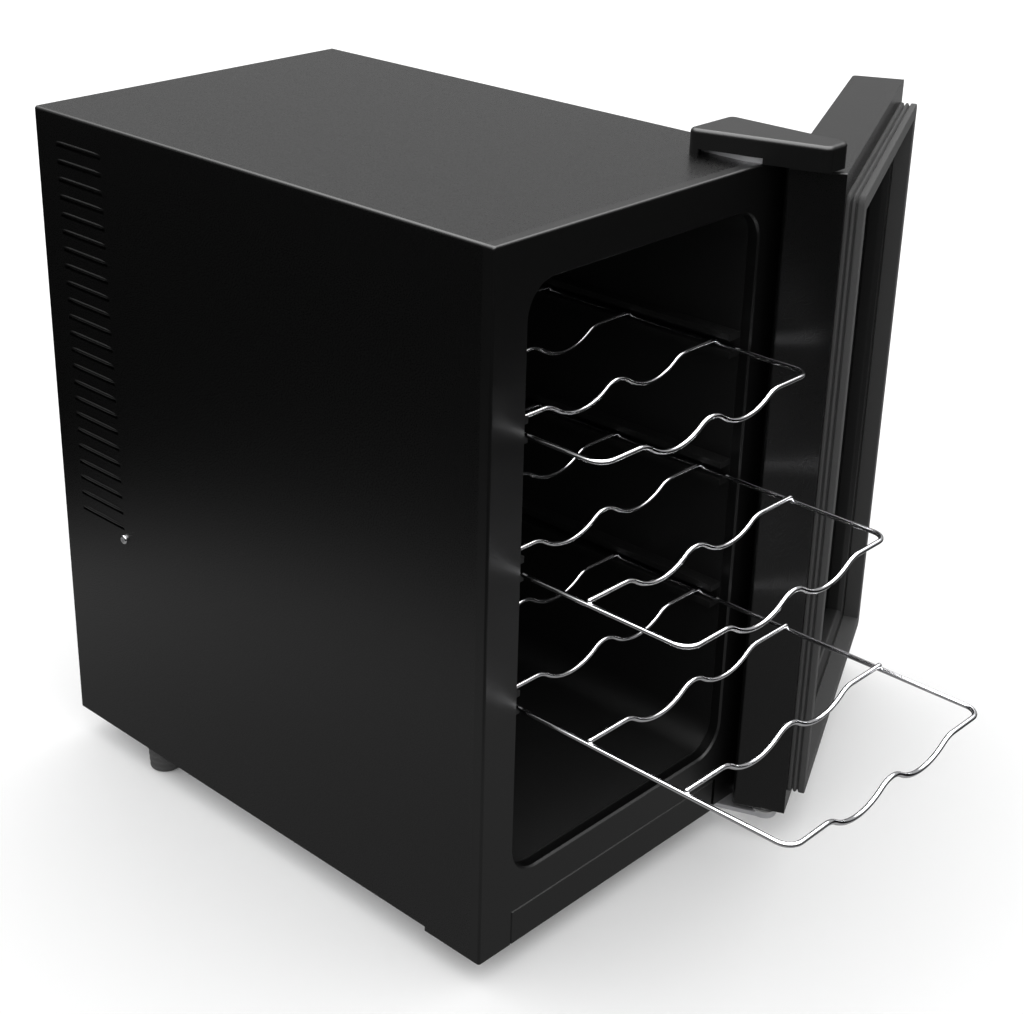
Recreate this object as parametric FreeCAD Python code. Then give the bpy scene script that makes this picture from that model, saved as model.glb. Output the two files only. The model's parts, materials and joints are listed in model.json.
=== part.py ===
import FreeCAD, Part
import math
import os

from FreeCAD import Vector

# Countertop wine cooler with a thermoelectric cooling unit, door held wide open and the
# three wire racks drawn out in steps.  Millimetres.  +X is the right-hand side seen from
# the front, -Y is the front, +Z is up.  The origin is the centre of the cabinet's
# underside, so the feet stand below it.

# ---------------------------------------------------------------- driving dimensions
BODY_W = 252.0
BODY_D = 395.0
BODY_H = 437.0
SHEET = 1.0                     # painted steel sheet of the shell, floor and bulkhead
FOLD_R = 2.0                    # outer radius of the shell's top folds
FRONT_EDGE_R = 1.5
FRAME_T = 7.5                   # moulded front frame
OPEN_HALF_W = 98.5              # cabinet mouth
OPEN_Z0 = 45.0
OPEN_Z1 = 411.0
OPEN_R = 20.0
LINER_T = 2.0
LINER_DEPTH = 318.0             # mouth to the inside of the liner's back wall
COMPARTMENT_Y = 130.0           # front of the machine compartment
FOOT_H = 20.0
FOOT_R_TOP = 12.0
FOOT_R_FLOOR = 11.0
FOOT_PLACES = ((92.0, -135.0), (111.5, 120.0))   # front pair, rear pair

DOOR_W = 254.0
DOOR_Z0 = 2.0
DOOR_Z1 = 435.0
DOOR_FRAME_T = 35.0
GASKET_T = 11.0
GASKET_W = 10.0
DOOR_GAP = 0.5                  # closed gasket face to cabinet front
PIN_FROM_SIDE = 5.0             # hinge axis inside the cabinet's side plane
PIN_AHEAD = 25.5                # hinge axis ahead of the cabinet's front plane
PIN_R = 2.5
RUNNING_CLEARANCE = 0.05
DOOR_REST_DEG = 205.0           # how far the door stands open at rest

RACK_HALF_W = 92.0              # centreline of a side rail
WIRE_R = 1.5
RACK_CORNER_R = 9.0
RACK_LENGTH = 272.0             # front bar to the rails' rear ends
BAR_PITCH = 66.8
BAR_COUNT = 4                   # wavy cross bars behind the front bar
RACKS = {                       # rail height, how far the front bar stands ahead of the cabinet
    "rack_upper": (324.0, 46.9),
    "rack_middle": (241.0, 109.2),
    "rack_lower": (156.0, 181.1),
}
RACK_HOME = 44.0                # front bar behind the cabinet's front plane, pushed home
CREST_X = 62.0                  # outer crest of the wave, from the rack's centre
CREST_R = 16.0
BOTTLE_R = 38.0

MODULE_Z = 250.0                # centre of the cooling unit
LOUVRES = 23
LOUVRE_PITCH = 11.4
LOUVRE_TOP_Z = 416.0
LOUVRE_Y = (131.0, 177.0)
LOUVRE_H = 1.8
BUTTON_TRAVEL = 0.8

# ---------------------------------------------------------------- derived places
HALF_W = BODY_W / 2
FRONT_Y = -BODY_D / 2
REAR_Y = BODY_D / 2
FRAME_BACK_Y = FRONT_Y + FRAME_T
LINER_HALF_W = OPEN_HALF_W - 0.5
LINER_Z0 = OPEN_Z0 + 1.0
LINER_Z1 = OPEN_Z1 - 1.0
LINER_BACK_Y = FRONT_Y + LINER_DEPTH
PIN_X = HALF_W - PIN_FROM_SIDE
PIN_Y = FRONT_Y - PIN_AHEAD
GASKET_FACE_Y = FRONT_Y - DOOR_GAP
DOOR_INNER_Y = GASKET_FACE_Y - GASKET_T
DOOR_OUTER_Y = DOOR_INNER_Y - DOOR_FRAME_T
DOOR_HALF_W = DOOR_W / 2

nodes = {}


# ---------------------------------------------------------------- shape helpers
def block(x0, x1, y0, y1, z0, z1):
    """Box between two corners."""
    return Part.makeBox(x1 - x0, y1 - y0, z1 - z0, Vector(x0, y0, z0))


def rod(radius, start, end):
    """Round bar between two points."""
    along = end - start
    return Part.makeCylinder(radius, along.Length, start, along)


def runs_along(edge, axis):
    """True if a straight edge is parallel to an axis."""
    if not isinstance(edge.Curve, Part.Line):
        return False
    return abs(abs(edge.Curve.Direction.dot(axis)) - 1.0) < 1e-6


def rounded(shape, radius, axis, where=None):
    """Shape with the edges along an axis rounded, all of them or those that where() picks."""
    edges = [
        e for e in shape.Edges
        if runs_along(e, axis) and (where is None or where(e.CenterOfMass))
    ]
    return shape.makeFillet(radius, edges)


def panel(half_w, z0, z1, y0, y1, radius):
    """Upright plate centred on X with rounded corners."""
    plate = block(-half_w, half_w, y0, y1, z0, z1)
    return rounded(plate, radius, Vector(0, 1, 0))


def ring(half_w, z0, z1, y0, y1, width, radius):
    """Upright frame of one width, its inner corners concentric with its outer ones."""
    outer = panel(half_w, z0, z1, y0, y1, radius)
    inner_r = max(radius - width, 0.5)
    hole = panel(half_w - width, z0 + width, z1 - width, y0 - 1, y1 + 1, inner_r)
    return outer.cut(hole)


def slot(half_length, half_height, centre, depth_axis, depth):
    """Round-ended slot cutter, long along X, through along Y."""
    x, y, z = centre
    body = block(x - half_length + half_height, x + half_length - half_height,
                 y, y + depth, z - half_height, z + half_height)
    ends = [
        Part.makeCylinder(half_height, depth,
                          Vector(x + s * (half_length - half_height), y, z), depth_axis)
        for s in (-1, 1)
    ]
    return body.multiFuse(ends)


def group(shapes):
    """Several separate solids kept in one node."""
    return Part.makeCompound(shapes)


def screw(head_r, head_t, shank_r, shank_l, at, into):
    """Pan-head screw: its head sits on a face at a point, its shank runs into it."""
    head = Part.makeCylinder(head_r, head_t, at, into * -1)
    head = head.makeFillet(head_t * 0.6, [
        e for e in head.Edges if (e.CenterOfMass - (at - into * head_t)).Length < 1e-6])
    shank = Part.makeCylinder(shank_r, shank_l, at, into)
    driver = block(-head_r * 0.6, head_r * 0.6, -0.35, 0.35, 0, head_t * 0.5)
    cross = driver.fuse(driver.rotated(Vector(0, 0, 0), Vector(0, 0, 1), 90))
    turn = FreeCAD.Rotation(Vector(0, 0, 1), into * -1)
    cross.Placement = FreeCAD.Placement(at - into * (head_t * 0.5), turn)
    return head.fuse(shank).cut(cross)


# ---------------------------------------------------------------- cabinet
def outer_shell():
    """Top and both sides as one folded sheet, with a column of louvre slots on each side."""
    outer = block(-HALF_W, HALF_W, FRAME_BACK_Y, REAR_Y, 0, BODY_H)
    outer = rounded(outer, FOLD_R, Vector(0, 1, 0), lambda c: c.z > BODY_H - 1)
    inner = block(-HALF_W + SHEET, HALF_W - SHEET, FRAME_BACK_Y - 1, REAR_Y + 1,
                  -1, BODY_H - SHEET)
    inner = rounded(inner, FOLD_R - SHEET, Vector(0, 1, 0), lambda c: c.z > BODY_H - SHEET - 1)
    cutters = []
    for i in range(LOUVRES):
        z = LOUVRE_TOP_Z - i * LOUVRE_PITCH
        cutters.append(block(-HALF_W - 1, HALF_W + 1, LOUVRE_Y[0], LOUVRE_Y[1],
                             z - LOUVRE_H / 2, z + LOUVRE_H / 2))
    for side in (-1, 1):
        cutters.append(rod(SIDE_SCREW_R, side_screw_at(side) + Vector(side, 0, 0),
                           side_screw_at(side) - Vector(2 * side, 0, 0)))
    return outer.cut(inner).cut(Part.makeCompound(cutters))


SIDE_SCREW_R = 1.5


def side_screw_at(side):
    """Seat of the shell screw just below the front end of the louvres."""
    z = LOUVRE_TOP_Z - LOUVRES * LOUVRE_PITCH + 4.0
    return Vector(side * HALF_W, LOUVRE_Y[0], z)


KICK_HALF_W = 99.0
KICK_TOP = 20.0
KICK_T = 3.0
KICK_GROOVE = 0.8
SILL_DROP = 3.0
SILL_DEPTH = 45.0
LOWER_PLATE = (98.0, 124.0)     # X span of the lower hinge bracket's seat


def front_frame():
    """Moulded front face around the mouth, with a sill that returns under the cabinet."""
    face = block(-HALF_W, HALF_W, FRONT_Y, FRAME_BACK_Y, -SILL_DROP, BODY_H)
    sill = block(-HALF_W, HALF_W, FRAME_BACK_Y, FRONT_Y + SILL_DEPTH, -SILL_DROP, 0)
    frame = face.fuse(sill).removeSplitter()
    frame = rounded(frame, FOLD_R, Vector(0, 1, 0), lambda c: c.z > BODY_H - 1)
    frame = frame.makeFillet(FRONT_EDGE_R, [
        e for e in frame.Edges if e.BoundBox.YMax < FRONT_Y + 1e-6
        and e.CenterOfMass.z > 0 and not runs_along(e, Vector(0, 1, 0))])
    mouth = panel(OPEN_HALF_W, OPEN_Z0, OPEN_Z1, FRONT_Y - 1, FRAME_BACK_Y + 1, OPEN_R)
    recess = block(-KICK_HALF_W, KICK_HALF_W, FRONT_Y - 1, FRONT_Y + KICK_T,
                   -SILL_DROP - 1, KICK_TOP + KICK_GROOVE)
    seat = block(LOWER_PLATE[0] - 0.3, HALF_W + 1, FRONT_Y - 1, FRONT_Y + SILL_DEPTH + 1,
                 -SILL_DROP - 1, 0)
    frame = frame.cut(mouth).cut(recess).cut(seat)
    lip = [e for e in frame.Edges
           if abs(e.BoundBox.YMin - FRONT_Y) < 1e-6 and abs(e.BoundBox.YMax - FRONT_Y) < 1e-6
           and abs(e.CenterOfMass.x) < OPEN_HALF_W + 1
           and OPEN_Z0 - 1 < e.CenterOfMass.z < OPEN_Z1 + 1]
    return frame.makeChamfer(1.2, lip)


def kick_trim():
    """Flush strip across the foot of the front face, outlined by a groove."""
    strip = block(-KICK_HALF_W + KICK_GROOVE, LOWER_PLATE[0] - 1.1,
                  FRONT_Y, FRONT_Y + KICK_T, -SILL_DROP, KICK_TOP)
    return strip.makeChamfer(0.6, [
        e for e in strip.Edges
        if abs(e.CenterOfMass.y - FRONT_Y) < 1e-6 and e.CenterOfMass.z > -SILL_DROP + 1])


LEDGE_REACH = 9.5               # how far a rack ledge stands out of the liner's wall
LEDGE_T = 4.0
GROOVE_BELOW = WIRE_R + 0.3     # ledge under the rail's centreline
GROOVE_ABOVE = 3 * WIRE_R + 1.0  # ledge over the cross bars that lie on the rail
COVER_HALF_W = 55.0             # cold-air cover in the liner's back wall
COVER_HALF_H = 75.0


def inner_liner():
    """Deep tub with a pair of ledges each side for every rack, open at the front."""
    y1 = LINER_BACK_Y
    tub = panel(LINER_HALF_W + LINER_T, LINER_Z0 - LINER_T, LINER_Z1 + LINER_T,
                FRAME_BACK_Y, y1 + LINER_T, OPEN_R)
    hollow = panel(LINER_HALF_W, LINER_Z0, LINER_Z1, FRAME_BACK_Y - 1, y1, OPEN_R - LINER_T)
    tub = tub.cut(hollow)
    ledges = []
    for z, _ in RACKS.values():
        for side in (-1, 1):
            x0, x1 = sorted((side * LINER_HALF_W, side * (LINER_HALF_W - LEDGE_REACH)))
            x0, x1 = x0 - 0.5 * (side < 0), x1 + 0.5 * (side > 0)
            for low in (z - GROOVE_BELOW - LEDGE_T, z + GROOVE_ABOVE):
                ledges.append(block(x0, x1, FRAME_BACK_Y, y1 + 0.5, low, low + LEDGE_T))
    tub = tub.multiFuse(ledges)
    doorway = block(-COVER_HALF_W, COVER_HALF_W, y1 - 1, y1 + LINER_T + 1,
                    MODULE_Z - COVER_HALF_H, MODULE_Z + COVER_HALF_H)
    return tub.cut(doorway)


POCKET_HALF = 52.0              # well through the foam for the cold fan and cold sink
FIT = 0.3


def foam_insulation():
    """Insulation that fills the space between liner and shell, behind the front frame."""
    block_all = block(-HALF_W + SHEET + FIT, HALF_W - SHEET - FIT, FRAME_BACK_Y + FIT,
                      COMPARTMENT_Y - FIT, 2 * SHEET + FIT, BODY_H - SHEET - 2 * FIT)
    tub = block(-LINER_HALF_W - LINER_T - FIT, LINER_HALF_W + LINER_T + FIT,
                FRAME_BACK_Y - 1, LINER_BACK_Y + LINER_T + FIT,
                LINER_Z0 - LINER_T - FIT, LINER_Z1 + LINER_T + FIT)
    well = block(-POCKET_HALF, POCKET_HALF, LINER_BACK_Y, COMPARTMENT_Y + 1,
                 MODULE_Z - POCKET_HALF, MODULE_Z + POCKET_HALF)
    return block_all.cut(tub).cut(well)


def bulkhead():
    """Sheet wall between the insulation and the machine compartment."""
    sheet = block(-HALF_W + SHEET, HALF_W - SHEET, COMPARTMENT_Y, COMPARTMENT_Y + SHEET,
                  2 * SHEET, BODY_H - SHEET)
    window = block(-POCKET_HALF + 4, POCKET_HALF - 4, COMPARTMENT_Y - 1,
                   COMPARTMENT_Y + 2, MODULE_Z - POCKET_HALF + 4, MODULE_Z + POCKET_HALF - 4)
    sheet = rounded(sheet, FOLD_R - SHEET, Vector(0, 1, 0), lambda c: c.z > BODY_H - 2 * SHEET)
    return sheet.cut(window)


def base_plate():
    """Sheet floor with a pressed-down centre pad and a hole over each foot."""
    sheet = block(-HALF_W + SHEET, HALF_W - SHEET, FRAME_BACK_Y, REAR_Y - 2.0, SHEET, 2 * SHEET)
    pad = block(-PAD_HALF_W, PAD_HALF_W, PAD_Y[0], PAD_Y[1], 0, 2 * SHEET)
    pad = rounded(pad, 8.0, Vector(0, 0, 1))
    dish = block(-PAD_HALF_W + SHEET, PAD_HALF_W - SHEET, PAD_Y[0] + SHEET, PAD_Y[1] - SHEET,
                 SHEET, 3 * SHEET)
    dish = rounded(dish, 8.0 - SHEET, Vector(0, 0, 1))
    holes = [rod(FOOT_SPIGOT_R, Vector(x, y, -1), Vector(x, y, 3)) for x, y in foot_places()]
    return sheet.fuse(pad).cut(dish).removeSplitter().cut(Part.makeCompound(holes))


PAD_HALF_W = 62.0               # pressed pad that stiffens the floor
PAD_Y = (-85.0, 95.0)
FOOT_SPIGOT_R = 3.0
REAR_T = 2.0
REAR_FIT = 0.3


def foot_places():
    """Centres of the four feet."""
    return [(sx * x, y) for x, y in FOOT_PLACES for sx in (-1, 1)]


def foot(x, y):
    """Tapered round foot with a spigot that snaps into the floor."""
    cone = Part.makeCone(FOOT_R_FLOOR, FOOT_R_TOP, FOOT_H, Vector(x, y, -FOOT_H))
    cone = cone.makeFillet(1.5, [e for e in cone.Edges if abs(e.CenterOfMass.z + FOOT_H) < 1e-6
                                 and e.Length > FOOT_R_FLOOR * 6])
    collar = rod(FOOT_R_TOP - 2, Vector(x, y, -1), Vector(x, y, SHEET))
    spigot = rod(FOOT_SPIGOT_R, Vector(x, y, -1), Vector(x, y, 2 * SHEET + 0.2))
    return cone.multiFuse([collar, spigot])


INLET_X = 88.0
INLET_Z = 52.0
INLET_HALF_W = 14.0
INLET_HALF_H = 10.0


def rear_cover():
    """Moulded back with a slotted grille over the fan and a row of low air slots."""
    half_w = HALF_W - SHEET - REAR_FIT
    plate = panel(half_w, SHEET + REAR_FIT, BODY_H - SHEET - REAR_FIT,
                  REAR_Y - REAR_T, REAR_Y, 2.0)
    cutters = []
    for i in range(13):
        z = MODULE_Z + (i - 6) * 9.0
        reach = math.sqrt(max(58.0 ** 2 - (z - MODULE_Z) ** 2, 12.0 ** 2))
        cutters.append(slot(reach, 2.4, (0, REAR_Y - REAR_T - 1, z), Vector(0, 1, 0), 4))
    for row in range(5):
        z = 92.0 + row * 9.0
        cutters.append(slot(34.0, 2.0, (-70, REAR_Y - REAR_T - 1, z), Vector(0, 1, 0), 4))
        cutters.append(slot(34.0, 2.0, (-70, REAR_Y - REAR_T - 1, z + 268), Vector(0, 1, 0), 4))
        cutters.append(slot(34.0, 2.0, (70, REAR_Y - REAR_T - 1, z + 268), Vector(0, 1, 0), 4))
    cutters.append(block(INLET_X - INLET_HALF_W, INLET_X + INLET_HALF_W,
                         REAR_Y - REAR_T - 1, REAR_Y + 1,
                         INLET_Z - INLET_HALF_H, INLET_Z + INLET_HALF_H))
    for at in rear_screw_places():
        cutters.append(rod(1.5, at + Vector(0, 1, 0), at - Vector(0, 4, 0)))
    return plate.cut(Part.makeCompound(cutters))


def rear_screw_places():
    """Seats of the screws round the back."""
    xs = (-HALF_W + 9, HALF_W - 9)
    return [Vector(x, REAR_Y, z) for x in xs for z in (12.0, BODY_H / 2, BODY_H - 12.0)]


def power_inlet():
    """Recessed three-pin appliance inlet, as a housing with a cavity."""
    flange = block(INLET_X - INLET_HALF_W - 3, INLET_X + INLET_HALF_W + 3, REAR_Y, REAR_Y + 2,
                   INLET_Z - INLET_HALF_H - 3, INLET_Z + INLET_HALF_H + 3)
    flange = rounded(flange, 3.0, Vector(0, 1, 0))
    body = block(INLET_X - INLET_HALF_W + 0.1, INLET_X + INLET_HALF_W - 0.1,
                 REAR_Y - 24, REAR_Y, INLET_Z - INLET_HALF_H + 0.1, INLET_Z + INLET_HALF_H - 0.1)
    cavity = block(INLET_X - 11.5, INLET_X + 11.5, REAR_Y - 16, REAR_Y + 3,
                   INLET_Z - 7.5, INLET_Z + 7.5)
    return flange.fuse(body).removeSplitter().cut(cavity)


def inlet_pins():
    """Three flat contact blades standing in the inlet."""
    return group([
        block(INLET_X + dx - 1, INLET_X + dx + 1, REAR_Y - 16, REAR_Y - 3,
              INLET_Z + dz - 2, INLET_Z + dz + 2)
        for dx, dz in ((-7, -1.5), (0, 2.5), (7, -1.5))
    ])


# ---------------------------------------------------------------- hinges
HINGE_T = 3.0
TOP_EYE_R = 4.4
LOWER_EYE_R = 8.0
PIN_REACH = 13.0                # how deep a pin stands in the door
BUSH_R = 4.3
TOP_PLATE = (94.0, 122.0)


def hinge_plate(x0, x1, y_back, z0, eye_r):
    """Flat bracket: a rectangular foot on the cabinet, its arm narrowing to a round eye."""
    top = [Vector(x0, y_back, z0), Vector(x1, y_back, z0), Vector(x1, FRONT_Y - 2, z0),
           Vector(PIN_X + eye_r, PIN_Y, z0)]
    around = Part.Arc(Vector(PIN_X + eye_r, PIN_Y, z0), Vector(PIN_X, PIN_Y - eye_r, z0),
                      Vector(PIN_X - eye_r, PIN_Y, z0))
    sweep = Part.Arc(Vector(PIN_X - eye_r, PIN_Y, z0),
                     Vector(x0 + 7.0, FRONT_Y - 6.0, z0), Vector(x0, FRONT_Y + 12.0, z0))
    edges = [Part.LineSegment(a, b).toShape() for a, b in zip(top, top[1:])]
    edges += [around.toShape(), sweep.toShape(),
              Part.LineSegment(Vector(x0, FRONT_Y + 12.0, z0), top[0]).toShape()]
    face = Part.Face(Part.Wire(edges))
    return face.extrude(Vector(0, 0, HINGE_T))


def top_hinge_bracket():
    """Steel bracket on the cabinet's top that carries the upper pin over the door."""
    plate = hinge_plate(TOP_PLATE[0], TOP_PLATE[1], FRONT_Y + 42, BODY_H, TOP_EYE_R)
    holes = [rod(2.0, at + Vector(0, 0, 1), at - Vector(0, 0, 5))
             for at in top_hinge_screw_places()]
    holes.append(rod(PIN_R, Vector(PIN_X, PIN_Y, BODY_H - 1), Vector(PIN_X, PIN_Y, BODY_H + 5)))
    return plate.cut(Part.makeCompound(holes))


def top_hinge_screw_places():
    """Seats of the bracket's screws on top of the plate."""
    z = BODY_H + HINGE_T
    return [Vector(102, FRONT_Y + 34, z), Vector(115, FRONT_Y + 34, z),
            Vector(108, FRONT_Y + 16, z)]


def top_hinge_pin():
    """Upper hinge pin: riveted head over the bracket, shank down into the door."""
    top = BODY_H + HINGE_T
    head = Part.makeCylinder(PIN_R + 1.5, 1.5, Vector(PIN_X, PIN_Y, top))
    shank = rod(PIN_R, Vector(PIN_X, PIN_Y, DOOR_Z1 - PIN_REACH + 1), Vector(PIN_X, PIN_Y, top))
    return head.fuse(shank).removeSplitter()


def lower_hinge_bracket():
    """Bright steel bracket under the cabinet's front corner that carries the door."""
    plate = hinge_plate(LOWER_PLATE[0], LOWER_PLATE[1], FRONT_Y + 44, -HINGE_T, LOWER_EYE_R)
    holes = [rod(2.0, Vector(x, y, -HINGE_T - 1), Vector(x, y, 1))
             for x, y in lower_hinge_screw_places()]
    holes.append(rod(PIN_R, Vector(PIN_X, PIN_Y, -HINGE_T - 1), Vector(PIN_X, PIN_Y, 1)))
    return plate.cut(Part.makeCompound(holes))


def lower_hinge_screw_places():
    """Plan places of the lower bracket's screws."""
    return [(105, FRONT_Y + 36), (117, FRONT_Y + 36), (111, FRONT_Y + 18)]


def lower_hinge_pin():
    """Lower hinge pin standing up into the door's foot."""
    return rod(PIN_R, Vector(PIN_X, PIN_Y, -HINGE_T), Vector(PIN_X, PIN_Y, DOOR_Z0 + PIN_REACH - 1))


def lower_hinge_washer():
    """Thrust washer on the lower bracket that the door turns on."""
    washer = Part.makeCylinder(8.0, 1.6, Vector(PIN_X, PIN_Y, 0))
    return washer.cut(rod(PIN_R, Vector(PIN_X, PIN_Y, -1), Vector(PIN_X, PIN_Y, 3)))


COVER_T = 1.5
COVER_H = 15.0
COVER_RIGHT = 127.0
COVER_BACK_Y = FRONT_Y + 46
COVER_FRONT_Y = -235.0


def cover_plan():
    """Plan of the hinge cap: wide at the back, narrowing to a nose over the pin."""
    corners = [Vector(83.0, COVER_BACK_Y, BODY_H), Vector(COVER_RIGHT, COVER_BACK_Y, BODY_H),
               Vector(COVER_RIGHT, COVER_FRONT_Y, BODY_H), Vector(107.0, COVER_FRONT_Y, BODY_H)]
    return Part.Face(Part.makePolygon(corners + corners[:1]))


def top_hinge_cover():
    """Moulded cap over the upper hinge: a hollow shell that overhangs the door's top."""
    cap = cover_plan().extrude(Vector(0, 0, COVER_H))
    cap = rounded(cap, 5.0, Vector(0, 0, 1))
    cap = cap.makeFillet(2.5, [e for e in cap.Edges
                               if e.BoundBox.ZMin > BODY_H + COVER_H - 1e-3])
    hollow = cover_plan().makeOffset2D(-COVER_T).extrude(Vector(0, 0, COVER_H - COVER_T))
    hollow = rounded(hollow, 3.0, Vector(0, 0, 1))
    side_gap = block(80, 100, FRONT_Y, FRONT_Y + 38, BODY_H - 1, BODY_H + HINGE_T + 0.5)
    return cap.cut(hollow).cut(side_gap)


# ---------------------------------------------------------------- door, modelled closed
GLASS_POCKET_HALF_W = 105.0
GLASS_POCKET_Z = (30.0, 407.0)
LIP_T = 2.0
SIGHT_LIP = 8.0                 # how far the front lip covers the glass
GLASS_T = 4.0
SPACER_T = 14.0
GRIP_Z = (165.0, 295.0)
GRIP_DEPTH = 7.0


def swing(shape):
    """A part of the closed door, turned about the hinge axis to where the door rests."""
    return shape.rotated(Vector(PIN_X, PIN_Y, 0), Vector(0, 0, 1), DOOR_REST_DEG)


def door_outer_frame():
    """Deep moulded frame with the glass pocket, a finger grip and a bore for each bush."""
    body = block(-DOOR_HALF_W, DOOR_HALF_W, DOOR_OUTER_Y, DOOR_INNER_Y, DOOR_Z0, DOOR_Z1)
    body = rounded(body, 3.0, Vector(0, 0, 1), lambda c: c.y < DOOR_OUTER_Y + 1)
    body = rounded(body, 1.0, Vector(1, 0, 0), lambda c: c.y < DOOR_OUTER_Y + 1)
    z0, z1 = GLASS_POCKET_Z
    pocket = panel(GLASS_POCKET_HALF_W, z0, z1, DOOR_OUTER_Y + LIP_T, DOOR_INNER_Y + 1, 4.0)
    sight = panel(GLASS_POCKET_HALF_W - SIGHT_LIP, z0 + SIGHT_LIP, z1 - SIGHT_LIP,
                  DOOR_OUTER_Y - 1, DOOR_INNER_Y, 8.0)
    grip = block(-DOOR_HALF_W - 1, -DOOR_HALF_W + GRIP_DEPTH, DOOR_OUTER_Y + 6,
                 DOOR_INNER_Y - 6, GRIP_Z[0], GRIP_Z[1])
    grip = grip.makeFillet(4.0, [e for e in grip.Edges if runs_along(e, Vector(0, 0, 1))
                                 and e.CenterOfMass.x > -DOOR_HALF_W])
    bores = [rod(BUSH_R, Vector(PIN_X, PIN_Y, DOOR_Z0 - 1), Vector(PIN_X, PIN_Y, DOOR_Z0 + PIN_REACH)),
             rod(BUSH_R, Vector(PIN_X, PIN_Y, DOOR_Z1 + 1), Vector(PIN_X, PIN_Y, DOOR_Z1 - PIN_REACH))]
    return body.cut(pocket).cut(sight).cut(grip).cut(Part.makeCompound(bores))


def glass_pane(y0):
    """One pane of the door's double glazing."""
    z0, z1 = GLASS_POCKET_Z
    return panel(GLASS_POCKET_HALF_W - FIT, z0 + FIT, z1 - FIT, y0, y0 + GLASS_T, 4.0)


GLASS_OUT_Y = DOOR_OUTER_Y + LIP_T
SPACER_Y = GLASS_OUT_Y + GLASS_T
GLASS_IN_Y = SPACER_Y + SPACER_T
RETAINER_Y = GLASS_IN_Y + GLASS_T


def glass_spacer():
    """Hollow-looking aluminium bar frame that holds the two panes apart."""
    z0, z1 = GLASS_POCKET_Z
    return ring(GLASS_POCKET_HALF_W - 2, z0 + 2, z1 - 2, SPACER_Y, GLASS_IN_Y, 6.5, 6.0)


def door_inner_frame():
    """Retainer that clamps the glazing from the inside, bevelled towards the glass."""
    z0, z1 = GLASS_POCKET_Z
    frame = ring(GLASS_POCKET_HALF_W - FIT, z0 + FIT, z1 - FIT, RETAINER_Y, DOOR_INNER_Y, 9.0, 4.0)
    edges = [e for e in frame.Edges
             if abs(e.BoundBox.YMin - DOOR_INNER_Y) < 1e-6 and abs(e.BoundBox.YMax - DOOR_INNER_Y) < 1e-6
             and abs(e.CenterOfMass.x) < GLASS_POCKET_HALF_W - 6
             and z0 + 6 < e.CenterOfMass.z < z1 - 6]
    return frame.makeChamfer(3.0, edges)


GASKET_INSET = 4.0
GASKET_INSET_Z = 14.0


def door_gasket():
    """Magnetic seal that stands proud of the door's inner face, with two bellows folds."""
    half_w = DOOR_HALF_W - GASKET_INSET
    z0, z1 = DOOR_Z0 + GASKET_INSET_Z, DOOR_Z1 - GASKET_INSET_Z
    seal = ring(half_w, z0, z1, DOOR_INNER_Y, GASKET_FACE_Y, GASKET_W, 5.0)
    for fold in (2.2, 5.6):
        y = DOOR_INNER_Y + fold
        cutter = ring(half_w + 1, z0 - 1, z1 + 1, y, y + 1.3, 3.0, 5.0)
        seal = seal.cut(cutter)
    return seal


def door_bush(z0, z1):
    """Nylon bush in the door's edge, running on a hinge pin."""
    bush = rod(BUSH_R, Vector(PIN_X, PIN_Y, z0), Vector(PIN_X, PIN_Y, z1))
    bore = rod(PIN_R + RUNNING_CLEARANCE, Vector(PIN_X, PIN_Y, z0 - 1), Vector(PIN_X, PIN_Y, z1 + 1))
    return bush.cut(bore)


# ---------------------------------------------------------------- wire racks
def wave_edges(y, z, end_x):
    """Cross-bar path: flat ends, an outer crest each side, two bottle cradles between."""
    crest = Vector(CREST_X, y, z - CREST_R)
    middle = Vector(0, y, z - CREST_R)
    reach = CREST_R + BOTTLE_R
    cradle_x = CREST_X / 2
    rise = math.sqrt(reach ** 2 - (CREST_X - cradle_x) ** 2)
    cradle = Vector(cradle_x, y, z - CREST_R + rise)

    def touch(a):
        return a + (cradle - a) * (CREST_R / reach)

    def mid_arc(a, b, centre, radius):
        out = ((a + b) * 0.5 - centre)
        return centre + out * (radius / out.Length)

    crest_top, middle_top = crest + Vector(0, 0, CREST_R), middle + Vector(0, 0, CREST_R)
    outer_touch, inner_touch = touch(crest), touch(middle)
    half = [
        Part.LineSegment(Vector(end_x, y, z), crest_top),
        Part.Arc(crest_top, mid_arc(crest_top, outer_touch, crest, CREST_R), outer_touch),
        Part.Arc(outer_touch, cradle - Vector(0, 0, BOTTLE_R), inner_touch),
        Part.Arc(inner_touch, mid_arc(inner_touch, middle_top, middle, CREST_R), middle_top),
    ]
    right = [c.toShape() for c in half]
    left = [c.toShape().mirror(Vector(0, 0, 0), Vector(1, 0, 0)) for c in half]
    return right + left[::-1]


def wire_along(edges, start, direction):
    """Round wire along a path of tangent lines and arcs."""
    path = Part.Wire(Part.__sortEdges__(edges))
    section = Part.Wire(Part.makeCircle(WIRE_R, start, direction))
    shell = Part.BRepOffsetAPI.MakePipeShell(path)
    shell.setFrenetMode(False)
    shell.add(section)
    shell.build()
    shell.makeSolid()
    return shell.shape()


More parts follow.
